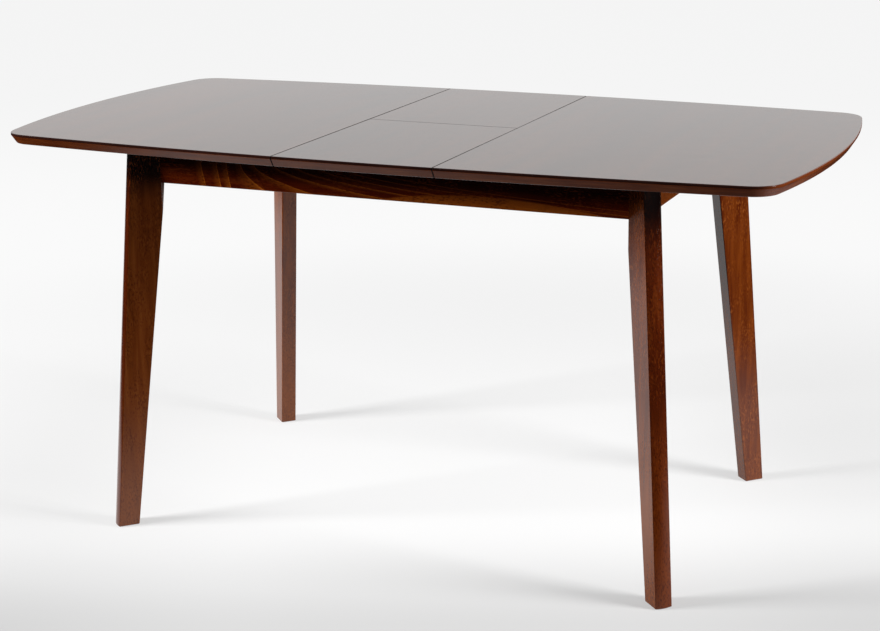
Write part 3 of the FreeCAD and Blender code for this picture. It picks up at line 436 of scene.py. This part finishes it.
# ---------------------------------------------------------------- aprons
aprons = {}
for name in ("front", "back", "left", "right"):
    node = f"apron_{name}"
    low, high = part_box(node)
    apron = block(f"{name}_rail_board", low, high)
    edit(apron, "EDGE")
    lower = on_flat("z", low.z)
    bevelled(lambda a, b: lower(a, b) and (a - b).length > RAIL_EDGE, APRON_ARRIS, 4)
    leave()
    shaded(apron)
    as_cad(apron, node, "frame")
    aprons[name] = apron


# ---------------------------------------------------------------- screws
def separate_pieces(node):
    """the points of each loose piece of the node's solids"""
    solid = frame["nodes"][node]
    places, number, leader = [], {}, []

    def leader_of(point):
        """the point that stands for all those joined to this one"""
        while leader[point] != point:
            point = leader[point]
        return point

    points = []
    for vertex in solid.data.vertices:
        place = solid.matrix_world @ vertex.co
        key = tuple(round(value / SAME_POINT) for value in place)
        if key not in number:
            number[key] = len(places)
            leader.append(len(places))
            places.append(place)
        points.append(number[key])
    for edge in solid.data.edges:
        first, second = (leader_of(points[end]) for end in edge.vertices)
        leader[first] = second
    pieces = {}
    for point, place in enumerate(places):
        pieces.setdefault(leader_of(point), []).append(place)
    return list(pieces.values())


def pan_head_screw():
    """short screw down -Z from its seat at the origin: rounded head with a cross recess, shank, point"""
    screw = rod("pan_head_screw", (0, 0, 0), (0, 0, HEAD_HEIGHT), HEAD_RADIUS, 32)
    edit(screw, "EDGE")
    bevelled(on_flat("z", HEAD_HEIGHT), HEAD_ROUND, 4)
    leave()
    for reach in ((RECESS_REACH, RECESS_HALF), (RECESS_HALF, RECESS_REACH)):
        low = (-reach[0], -reach[1], RECESS_FLOOR)
        cut_away(screw, block("recess_bit", low, (*reach, HEAD_HEIGHT + MM)))
    edit(screw)
    pick("FACE", lambda centre, normal: near(centre.z, 0) and near(normal.z, -1, 0.01))
    bpy.ops.mesh.inset(thickness=HEAD_RADIUS - SHANK_RADIUS)
    drawn_out((0, 0, -SHOULDER))
    drawn_out((0, 0, -POINT_LENGTH))
    bpy.ops.transform.resize(value=(POINT_TAPER, POINT_TAPER, 1))
    leave()
    return screw


def screw_in_place(master, name, points):
    """the screw along the longest side of the points' box, its head at the wide end"""
    low = Vector([min(point[axis] for point in points) for axis in range(3)])
    high = Vector([max(point[axis] for point in points) for axis in range(3)])
    middle = (low + high) / 2
    along = max(range(3), key=lambda axis: (high - low)[axis])
    flat = [axis for axis in range(3) if axis != along]
    wide = [point[along] for point in points
            if math.hypot(*(point[axis] - middle[axis] for axis in flat)) > HEAD_EDGE]
    upward = min(wide) > middle[along]
    seat, tip = middle.copy(), middle.copy()
    seat[along] = min(wide) if upward else max(wide)
    tip[along] = low[along] if upward else high[along]
    screw = copied(master, name)
    edit(screw, "VERT")
    pick("VERT", lambda place: place.z < -SHOULDER / 2)
    bpy.ops.transform.translate(value=(0, 0, SHOULDER + POINT_LENGTH - (tip - seat).length))
    leave()
    screw.rotation_euler = (tip - seat).to_track_quat("-Z", "Y").to_euler()
    screw.location = seat
    settled(screw)
    return screw


master = pan_head_screw()
screws = []
for node in SCREWS:
    made = [screw_in_place(master, f"{node}_{count}", points)
            for count, points in enumerate(separate_pieces(node))]
    only(made[0])
    for screw in made:
        screw.select_set(True)
    bpy.ops.object.join()
    piece = named(bpy.context.object, f"{node}_set")
    shaded(piece)
    as_cad(piece, node, frame["nodes"][node]["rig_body"])
    screws.append(piece)
bpy.data.objects.remove(master)


# ---------------------------------------------------------------- shader helpers
class Value:
    """a shader socket whose arithmetic adds Math nodes, with a number or a socket on either side"""

    def __init__(self, shader, socket):
        self.shader = shader
        self.socket = socket

    def maths(self, operation, first, second=None, third=None):
        """the result of one Math node"""
        return self.shader.node("ShaderNodeMath", {"operation": operation},
                                {0: first, 1: second, 2: third})

    def __add__(self, other):
        return self.maths("ADD", self, other)

    def __radd__(self, other):
        return self.maths("ADD", other, self)

    def __sub__(self, other):
        return self.maths("SUBTRACT", self, other)

    def __rsub__(self, other):
        return self.maths("SUBTRACT", other, self)

    def __mul__(self, other):
        return self.maths("MULTIPLY", self, other)

    def __rmul__(self, other):
        return self.maths("MULTIPLY", other, self)

    def __truediv__(self, other):
        return self.maths("DIVIDE", self, other)

    def __rtruediv__(self, other):
        return self.maths("DIVIDE", other, self)

    def clipped(self):
        """held between 0 and 1"""
        return self.maths("MINIMUM", self.maths("MAXIMUM", self, 0.0), 1.0)

    def size(self):
        return self.maths("ABSOLUTE", self)

    def larger(self, other):
        return self.maths("MAXIMUM", self, other)

    def smaller(self, other, blend):
        return self.maths("SMOOTH_MIN", self, other, blend)

    def eased(self, low, high):
        """0 at the low value and 1 at the high one, with soft ends"""
        return self.shader.node("ShaderNodeMapRange", {"interpolation_type": "SMOOTHSTEP"},
                                {"Value": self, "From Min": low, "From Max": high})


class Shader:
    """the nodes of a material or of the world"""

    def __init__(self, holder):
        holder.use_nodes = True
        self.holder = holder
        self.tree = holder.node_tree
        self.tree.nodes.clear()

    def node(self, kind, settings=None, values=None, out=0):
        """adds a node; its settings come first, then the values or links of its sockets"""
        made = self.tree.nodes.new(kind)
        for name, value in (settings or {}).items():
            if name == "stops":
                ramp = made.color_ramp
                while len(ramp.elements) < len(value):
                    ramp.elements.new(0.5)
                for element, (place, colour) in zip(ramp.elements, value):
                    element.position = place
                    element.color = rgb(*colour)
            else:
                setattr(made, name, value)
        for name, value in (values or {}).items():
            if isinstance(value, Value):
                self.tree.links.new(value.socket, made.inputs[name])
            elif value is not None:
                made.inputs[name].default_value = value
        return Value(self, made.outputs[out]) if made.outputs else None

    def coordinates(self, scale=(1, 1, 1), shift=(0, 0, 0)):
        """place on the piece, stretched along each axis by its scale"""
        place = self.node("ShaderNodeTexCoord", out="Object")
        return self.node("ShaderNodeMapping", {"vector_type": "TEXTURE"},
                         {"Vector": place, "Location": shift, "Scale": scale})

    def axes(self, vector):
        """the three numbers of a vector"""
        return [self.node("ShaderNodeSeparateXYZ", None, {0: vector}, out=axis) for axis in "XYZ"]

    def noise(self, vector, scale, detail=3.0, roughness=0.5, distortion=0.0):
        return self.node("ShaderNodeTexNoise", {"noise_dimensions": "3D"}, {
            "Vector": vector, "Scale": scale, "Detail": detail, "Roughness": roughness,
            "Distortion": distortion})

    def mixed(self, share, first, second, blend="MIX"):
        """first colour at share 0, second at share 1"""
        return self.node("ShaderNodeMix", {"data_type": "RGBA", "blend_type": blend},
                         {0: share, 6: first, 7: second}, out=2)

    def ramp(self, value, stops):
        """colour by value, through the stops"""
        return self.node("ShaderNodeValToRGB", {"stops": stops}, {0: value})

    def bump(self, height, strength, distance):
        return self.node("ShaderNodeBump", None,
                         {"Height": height, "Strength": strength, "Distance": distance})

    def ray(self, kind):
        """1 for a ray of that kind, else 0"""
        return self.node("ShaderNodeLightPath", out=kind)

    def surface(self, **values):
        """the finish itself"""
        inputs = {name.replace("_", " ").title().replace("Ior", "IOR"): value
                  for name, value in values.items()}
        finish = self.node("ShaderNodeBsdfPrincipled", None, inputs)
        self.node("ShaderNodeOutputMaterial", None, {"Surface": finish})
        return self.holder


def rgb(red, green, blue, alpha=1.0):
    """linear colour"""
    return (red, green, blue, alpha)


def finish_named(name):
    """an empty material to build a finish in"""
    return Shader(bpy.data.materials.new(name))


def painted(pieces, finish):
    """every face of the pieces takes the finish"""
    for piece in pieces:
        piece.data.materials.clear()
        piece.data.materials.append(finish)


def also_painted(piece, *finishes):
    """further finishes for single faces, after the one that covers the piece"""
    for finish in finishes:
        piece.data.materials.append(finish)


# ---------------------------------------------------------------- finishes of the table
# a face's number in its piece's list of finishes, and the slopes of the normals that sort the faces
RIM_FACE, BAND_FACE, SAWN_FACE, UNDER_FACE = 1, 2, 3, 4
LEVEL_UP, BAND_TILT, LEVEL_DOWN = 0.97, -0.1, -0.999
CROWN_FACE, CROWN_FACING = 1, 0.4
# where painted light and shade start and end, in metres: the painted light on the rim's right-hand tip,
# the painted light on a leg's lower end and the painted shade on its top
LIT_TIP_START, LIT_TIP_END = 0.68, 0.73
FOOT_LIGHT_LOW, FOOT_LIGHT_HIGH = 0.08, 0.42
TOP_SHADE_LOW, TOP_SHADE_HIGH = 0.615, 0.685


def veneer(name, shift, rough=0.10):
    """dark brown veneer, grain across the table, under a gloss lacquer"""
    shader = finish_named(name)
    wander = shader.noise(shader.coordinates(scale=(1, 5, 1), shift=shift), 5.0, 2.0)
    figure = shader.noise(shader.coordinates(scale=(1, 16, 1), shift=shift), 30.0, 5.0, 0.62, 0.7)
    pores = shader.noise(shader.coordinates(scale=(1, 22, 1), shift=shift), 520.0, 2.0, 0.5)
    tone = (figure * 0.8 + wander * 0.45 - 0.14).clipped()
    colour = shader.ramp(tone, [(0.25, (0.028, 0.008, 0.003)), (0.5, (0.062, 0.020, 0.009)),
                                (0.8, (0.105, 0.036, 0.016))])
    dark = shader.ramp(pores, [(0.34, (0.35, 0.33, 0.32)), (0.46, (1, 1, 1))])
    colour = shader.mixed(1.0, colour, dark, "MULTIPLY")
    ripple = shader.noise(shader.coordinates(shift=shift), 30.0, 2.0)
    return shader.surface(base_color=colour, roughness=rough + figure * 0.05,
                          normal=shader.bump(ripple, 0.035, 0.002))


def edge_finish():
    """stained and lacquered solid edge, its grain along the rim"""
    shader = finish_named("rim_lacquer")
    grain = shader.noise(shader.coordinates(scale=(14, 14, 1)), 190.0, 4.0, 0.6)
    clouds = shader.noise(shader.coordinates(), 9.0, 2.0)
    tone = (grain * 0.8 + clouds * 0.5 - 0.15).clipped()
    colour = shader.ramp(tone, [(0.25, (0.045, 0.007, 0.0012)), (0.5, (0.09, 0.018, 0.003)),
                                (0.8, (0.145, 0.035, 0.006))])
    return shader.surface(base_color=colour, roughness=0.16 + grain * 0.04, specular_ior_level=0.4,
                          normal=shader.bump(clouds, 0.03, 0.0006))


def arris_finish():
    """darker stain on the upright band of the rim, with painted light making it paler toward the
    right-hand tip, where the right lamp lights it
    """
    shader = finish_named("arris_stain_and_lit_tip")
    grain = shader.noise(shader.coordinates(scale=(14, 14, 1)), 190.0, 3.0)
    colour = shader.ramp(grain, [(0.3, (0.010, 0.0025, 0.0016)), (0.7, (0.024, 0.006, 0.0036))])
    # painted light: the band grows paler toward the right-hand tip
    painted_tip_light = shader.axes(shader.coordinates())[0].eased(LIT_TIP_START, LIT_TIP_END)
    colour = shader.mixed(painted_tip_light * 0.8, colour, rgb(0.10, 0.021, 0.004))
    ripple = shader.noise(shader.coordinates(), 9.0, 2.0)
    return shader.surface(base_color=colour, roughness=0.18 + grain * 0.04,
                          normal=shader.bump(ripple, 0.03, 0.0006))


def sawn_finish():
    """dull dark stain on the edges that meet at the seams"""
    shader = finish_named("sawn_edge_stain")
    grain = shader.noise(shader.coordinates(scale=(1, 6, 1)), 260.0, 3.0)
    colour = shader.ramp(grain, [(0.3, (0.007, 0.002, 0.0014)), (0.7, (0.018, 0.005, 0.003))])
    return shader.surface(base_color=colour, roughness=0.55 + grain * 0.1,
                          normal=shader.bump(grain, 0.1, 0.0004))


# dark, middle and light tone of each stain
LEG_STAINS = (0.05, 0.007, 0.0008), (0.12, 0.025, 0.0025), (0.22, 0.058, 0.009)
CROWN_STAINS = (0.02, 0.0022, 0.0002), (0.05, 0.0065, 0.0005), (0.105, 0.021, 0.002)
RAIL_STAINS = (0.034, 0.0018, 0.0002), (0.088, 0.008, 0.0006), (0.18, 0.032, 0.003)
# colour of the painted shade on the front legs' tops and on the front rail's upper edge
DEEP_SHADE = (0.003, 0.0003, 0.0002)
RING_STAIN = (0.46, 0.12, 0.010)


def beech(name, grain, shift, stains=LEG_STAINS, depth=0.0, head=0.0, foot=0.42, gloss=0.5, figure_and_shade=None):
    """red-brown stained beech under satin lacquer: streaks and short flecks along the grain.
    Depth darkens all of it. On a leg, head is how much painted shade darkens its top, below the table top,
    and foot how much painted light makes its lower end paler. A figure function, if given, adds a board's
    rings and painted shade."""
    shader = finish_named(name)
    dark, middle, light = stains

    def along(stretch):
        scale = tuple(stretch if axis == grain else 1 for axis in "xyz")
        return shader.coordinates(scale=scale, shift=shift)

    streaks = shader.noise(along(16), 85.0, 4.0, 0.6, 0.4)
    clouds = shader.noise(along(3), 9.0, 3.0)
    flecks = shader.noise(along(3.5), 420.0, 1.0, 0.4)
    bands = shader.noise(along(2), 24.0, 1.0)
    tone = (streaks * 0.75 + clouds * 0.55 - (0.17 + depth)).clipped()
    colour = shader.ramp(tone, [(0.22, dark), (0.5, middle), (0.82, light)])
    if grain == "z":
        height = shader.axes(shader.coordinates())[2]
        # painted light makes the leg's lower end paler, and painted shade darkens its top under the table
        # top
        colour = shader.mixed((1 - height.eased(FOOT_LIGHT_LOW, FOOT_LIGHT_HIGH)) * foot, colour, rgb(*light))
        colour = shader.mixed(height.eased(TOP_SHADE_LOW, TOP_SHADE_HIGH) * head, colour, rgb(*DEEP_SHADE))
    if figure_and_shade:
        # painted shade over the board's upper edge, then its lighter rings
        painted_upper_shade, rings = figure_and_shade(shader, clouds)
        colour = shader.mixed(painted_upper_shade, colour, rgb(*DEEP_SHADE))
        colour = shader.mixed(rings, colour, rgb(*RING_STAIN))
    share = flecks.eased(0.52, 0.68) * bands.eased(0.35, 0.62)
    colour = shader.mixed(share * 0.5, colour, rgb(*light))
    pores = shader.noise(along(2.5), 500.0, 1.0, 0.4)
    share = pores.eased(0.53, 0.66) * bands.eased(0.3, 0.55)
    colour = shader.mixed(share * 0.6, colour, rgb(*dark))
    return shader.surface(base_color=colour, roughness=0.16 + streaks * 0.08, specular_ior_level=gloss,
                          normal=shader.bump(streaks + flecks * 0.5, 0.06, 0.0006))


# of the front rail's board: height it shows below the rim, where its rings meet the lower edge, and the
# middle and half width of its arch, in millimetres
BOARD_HEIGHT = 43
RING_LINES = (86, 118, 138, 167, 195, 240, 285, 335, 395, 460)
ARCH_MIDDLE, ARCH_REACH = 645, 188


def cathedral(shader, clouds):
    """flat-sawn board: rings upright at its left end and ever flatter, a low arch, and painted shade on
    its upper edge under the rim
    """
    x, _, z = shader.axes(shader.coordinates())
    down = (APRON_BOTTOM + BOARD_HEIGHT * MM - z) / (BOARD_HEIGHT * MM)
    run = (x + FLAT_X) / MM
    bent = down * (down * 0.65 + 0.35)
    flat = (run + bent * 367) / (bent * 2.5 + 1)
    ring = (run - down * 8).smaller(flat, 6.0) + clouds * 6 - 3
    rings = 0.0
    for place in RING_LINES:
        before = place - ring
        line = 1 - before.eased(0.4, 2.2) * 0.6 - before.eased(2.2, 16.0) * 0.4
        rings = (before.eased(-1.0, 0.2) * line).larger(rings)
    across = (run - ARCH_MIDDLE) / ARCH_REACH
    arch = down - across * across * 0.36 - 0.52 + clouds * 0.2 - 0.1
    rings = (arch.eased(-0.03, 0.05) * run.eased(430.0, 480.0) * 0.5).larger(rings)
    # painted shade: the board darkens toward its upper edge, where the rim's overhang shades it
    painted_upper_shade = (1.05 - down - clouds * 0.3).eased(0.1, 0.85) * 0.85
    return painted_upper_shade, rings * (down * 0.75 + 0.2).clipped()


painted([tops["top_left"]], veneer("left_veneer", (3.1, 0.4, 0.2)))
painted([tops["top_right"]], veneer("right_veneer", (7.7, 1.9, 0.5)))
painted([tops["leaf_front"], tops["leaf_back"]], veneer("leaf_veneer", (5.3, 4.2, 0.8)))
top_finishes = (edge_finish(), arris_finish(), sawn_finish(),
                veneer("under_veneer", (9.4, 6.1, 1.3), 0.32))


def sawn(centre, limits):
    """whether a face's centre lies in one of the seams' flats"""
    return any(abs(centre["xyz".index(flat)] - place) < SEAM_ARRIS for flat, place, _ in limits)


for node, piece in tops.items():
    also_painted(piece, *top_finishes)
    for face in piece.data.polygons:
        if sawn(face.center, flats[node]):
            face.material_index = SAWN_FACE
        elif face.normal.z < LEVEL_DOWN:
            face.material_index = UNDER_FACE
        elif face.normal.z < LEVEL_UP:
            face.material_index = BAND_FACE if face.normal.z > BAND_TILT else RIM_FACE

# each board took the stain a little differently (depth), while head paints shade on a leg's top and foot
# paints light on its lower end: the settings of beech for the leg and for its crown
LEG_TONES = {
    "front_left": ({"head": 1.0}, {"head": 1.0, "gloss": 0.36}),
    "front_right": ({"depth": 0.18, "head": 0.3}, {"head": 1.0}),
    "back_left": ({}, {}),
    "back_right": ({"depth": 0.12, "foot": 0.08}, {}),
}
for corner, piece in legs.items():
    leg_tones, crown_tones = LEG_TONES[corner]
    shift = (CORNERS[corner] / 100, 0.3, 0.1)
    painted([piece], beech(f"{corner}_leg_beech", "z", shift, **leg_tones))
    also_painted(piece, beech(f"{corner}_crown_beech", "z", (1.7, 0.9, 0.3), CROWN_STAINS, **crown_tones))
    angle = math.radians(CORNERS[corner])
    outward = Vector((math.cos(angle), math.sin(angle), 0))
    for face in piece.data.polygons:
        if face.normal.dot(outward) > CROWN_FACING:
            face.material_index = CROWN_FACE
painted([aprons["front"]],
        beech("front_rail_beech", "x", (2.2, 0, 0), RAIL_STAINS, gloss=0.2, figure_and_shade=cathedral))
painted([aprons["back"]], beech("back_rail_beech", "x", (6.4, 0, 0), RAIL_STAINS, gloss=0.3))
painted([aprons["left"], aprons["right"]], beech("end_rail_beech", "y", (4.4, 0, 0)))


# ---------------------------------------------------------------- finishes of the parts below
def raw_beech():
    """pale unfinished beech of the hidden rails, blocks and battens"""
    shader = finish_named("raw_beech")
    streaks = shader.noise(shader.coordinates(scale=(9, 9, 3)), 160.0, 4.0, 0.6)
    flecks = shader.noise(shader.coordinates(scale=(3, 3, 1)), 420.0, 1.0)
    tone = (streaks * 0.8 + flecks * 0.3).clipped()
    colour = shader.ramp(tone, [(0.3, (0.40, 0.25, 0.13)), (0.55, (0.53, 0.35, 0.20)),
                                (0.8, (0.62, 0.44, 0.27))])
    return shader.surface(base_color=colour, roughness=0.6 + flecks * 0.15,
                          normal=shader.bump(streaks, 0.12, 0.0004))


def metal(name, colour, dull, rough):
    """plated or polished metal with faint rolling marks and a little dullness"""
    shader = finish_named(name)
    marks = shader.noise(shader.coordinates(scale=(20, 1, 20)), 900.0, 2.0)
    bloom = shader.noise(shader.coordinates(), 60.0, 3.0)
    tone = shader.mixed(bloom.eased(0.35, 0.7), rgb(*colour), rgb(*dull))
    return shader.surface(base_color=tone, metallic=1.0, roughness=rough + marks * 0.1,
                          normal=shader.bump(marks, 0.03, 0.0002))


def nylon():
    """off-white moulded nylon"""
    shader = finish_named("moulded_nylon")
    mottle = shader.noise(shader.coordinates(), 500.0, 2.0)
    tone = shader.ramp(mottle, [(0.3, (0.62, 0.61, 0.57)), (0.7, (0.74, 0.73, 0.69))])
    return shader.surface(base_color=tone, roughness=0.42 + mottle * 0.1,
                          normal=shader.bump(mottle, 0.05, 0.0002))


below = {
    "plain_wood": raw_beech(),
    "zinc_steel": metal("zinc_plate", (0.62, 0.62, 0.60), (0.50, 0.50, 0.49), 0.3),
    "bright_steel": metal("polished_steel", (0.66, 0.66, 0.67), (0.60, 0.60, 0.61), 0.12),
    "hinge_brass": metal("satin_brass", (0.62, 0.43, 0.17), (0.52, 0.35, 0.13), 0.24),
    "glide_plastic": nylon(),
}
for row in frame["record"]["subparts"]:
    finish = below.get(row["material_slot"])
    if finish:
        for slot in frame["nodes"][row["node"]].material_slots:
            slot.material = finish
painted(screws, below["zinc_steel"])

# ---------------------------------------------------------------- the camera's place
# lens and picture centre in pixels, turn and tilts in radians, eye in metres
PICTURE_WIDTH, PICTURE_HEIGHT = 880, 631
FOCAL_PIXELS = 1856.15
CENTRE_X, CENTRE_Y = 508.58, 306.32
SENSOR = 36.0
YAW, PITCH, ROLL = 0.3697, 0.2707, -0.0055
EYE = Vector((1.35119, -3.15129, 1.34620))
BACKWARD = (-math.sin(YAW), math.cos(YAW), 0)
camera_data = bpy.data.cameras.new("studio_camera")
camera_data.sensor_width = SENSOR
camera_data.lens = FOCAL_PIXELS / PICTURE_WIDTH * SENSOR
camera_data.shift_x = (PICTURE_WIDTH / 2 - CENTRE_X) / PICTURE_WIDTH
camera_data.shift_y = (CENTRE_Y - PICTURE_HEIGHT / 2) / PICTURE_WIDTH
camera = bpy.data.objects.new("studio_camera", camera_data)
bpy.context.scene.collection.objects.link(camera)
ahead = Vector((-math.sin(YAW) * math.cos(PITCH), math.cos(YAW) * math.cos(PITCH), -math.sin(PITCH)))
level = Vector((math.cos(YAW), math.sin(YAW), 0))
upward = level.cross(ahead)
rightward = math.cos(ROLL) * level + math.sin(ROLL) * upward
upward = math.cos(ROLL) * upward - math.sin(ROLL) * level
turn = Matrix((rightward, upward, -ahead)).transposed()
camera.matrix_world = Matrix.Translation(EYE) @ turn.to_4x4()
bpy.context.scene.camera = camera

# ---------------------------------------------------------------- floor and light
FLOOR_REACH = 18.0
# what the floor gives off by itself, painted light that stands in for how the lamps fall on it:
# everywhere, around the table, far behind it, near the camera and far out, and what it loses beside the
# table
GLOW, AROUND_GLOW, BEHIND_GLOW, NEAR_GLOW, OUTER_GLOW, BESIDE_LOSS = 0.33, 0.28, 0.25, 0.05, 0.27, 0.12
# brightness of the world: the backdrop to the eye and to gloss, its wall and ceiling in gloss, plain light
BACKDROP, MIRRORED_BACKDROP, WALL, CEILING, AMBIENT = 0.93, 0.98, 0.12, 0.05, 0.14


def pale_floor():
    """white paper sweep that ends in front of the table for gloss only: past its edge, and off to the left
    and right, gloss mirrors a dark floor, painted darkness in the table's reflections, while the eye sees
    white. Its glow is painted light, uneven as the lamps' light on it would be. Across and depth are the
    floor's own directions as the camera sees it."""
    shader = finish_named("pale_floor")
    x, y, _ = shader.axes(shader.coordinates())
    across = x * math.cos(YAW) + y * math.sin(YAW)
    depth = y * math.cos(YAW) - x * math.sin(YAW)
    seen = shader.ray("Is Camera Ray")
    gloss = shader.ray("Is Glossy Ray")
    side = across.size()
    nearer = 1 - depth.eased(-1.4, -0.7)
    white = depth.eased(-0.62, -0.12).larger(side.eased(0.9, 1.5)).larger(nearer) * AROUND_GLOW
    beside = (side.eased(0.3, 0.9) - side.eased(1.0, 1.6)) * (1 - depth.eased(0.0, 1.2)) * (1 - nearer)
    white = white + depth.eased(0.8, 5.0) * BEHIND_GLOW + nearer * NEAR_GLOW - beside * BESIDE_LOSS
    outer = (x * x + y * y).eased(1.2, 5.5)
    left = (0 - across - depth * 0.35).eased(0.98, 1.26)
    right = across.eased(0.95, 1.45)
    paper = (depth + (across - 0.3).larger(0.0) * 0.45).eased(-0.85, -0.15) * (1 - left) * (1 - right)
    paper = 1 - gloss * (1 - paper) * 0.99
    shown = seen.larger(gloss)
    base = (0.2 + shown * 0.08) * paper * (1 - outer * 0.85)
    outward = outer * (OUTER_GLOW - depth.eased(1.5, 5.0) * 0.23)
    glow = (white + outward + GLOW) * shown * paper
    black, blank = rgb(0, 0, 0), rgb(1, 1, 1)
    return shader.surface(base_color=shader.mixed(base, black, blank), roughness=0.9,
                          specular_ior_level=0.0, emission_strength=1.0,
                          emission_color=shader.mixed(glow, black, blank))


def studio_world():
    """white backdrop behind the table, and a dim room above and in front for its gloss"""
    world = bpy.data.worlds.new("studio")
    bpy.context.scene.world = world
    shader = Shader(world)
    look = shader.node("ShaderNodeTexCoord", out="Generated")
    back = shader.node("ShaderNodeVectorMath", {"operation": "DOT_PRODUCT"},
                       {0: look, 1: BACKWARD}, out="Value")
    seen, gloss = shader.ray("Is Camera Ray"), shader.ray("Is Glossy Ray")
    through = shader.ray("Is Transmission Ray")
    rest = 1 - seen - gloss - through
    up = shader.axes(look)[2]
    wall = (1 - up.size().eased(0.25, 0.6)) * WALL + CEILING
    mirrored = wall + back.eased(0.45, 0.82) * (MIRRORED_BACKDROP - wall)
    light = (seen + through) * BACKDROP + gloss * mirrored + rest * AMBIENT
    sky = shader.node("ShaderNodeBackground", None, {"Color": rgb(1, 1, 1), "Strength": light})
    shader.node("ShaderNodeOutputWorld", None, {"Surface": sky})


def softbox(name, place, aim, width, height, power, mirrored):
    """studio panel that faces a point; gloss may mirror it or not"""
    light = bpy.data.lights.new(name, "AREA")
    light.shape = "RECTANGLE"
    light.size = width
    light.size_y = height
    light.energy = power
    lamp = bpy.data.objects.new(name, light)
    bpy.context.scene.collection.objects.link(lamp)
    lamp.location = place
    lamp.rotation_euler = (Vector(aim) - Vector(place)).to_track_quat("-Z", "Y").to_euler()
    lamp.visible_glossy = mirrored


bpy.ops.object.select_all(action="DESELECT")
bpy.ops.mesh.primitive_plane_add(size=2 * FLOOR_REACH, location=(0, 0, 0))
floor = named(bpy.context.object, "studio_floor")
painted([floor], pale_floor())
studio_world()
# name, place, aim, width, height, power in watts, and whether gloss mirrors it
for lamp in (("left_panel", (-3.2, -2.1, 2.0), (0, 0, 0.4), 1.2, 1.2, 257, False),
             ("glint_panel", (-3.2, -2.1, 2.0), (0, 0, 0.4), 1.2, 1.2, 18, True),
             ("right_panel", (3.5, -0.1, 1.2), (0, 0, 0.5), 1.2, 1.9, 195, False),
             ("upper_panel", (3.4, -0.1, 2.3), (0, 0, 0.75), 0.7, 0.7, 40, True)):
    softbox(*lamp)

bpy.context.scene.view_settings.view_transform = "Standard"

bpy.context.view_layer.update()
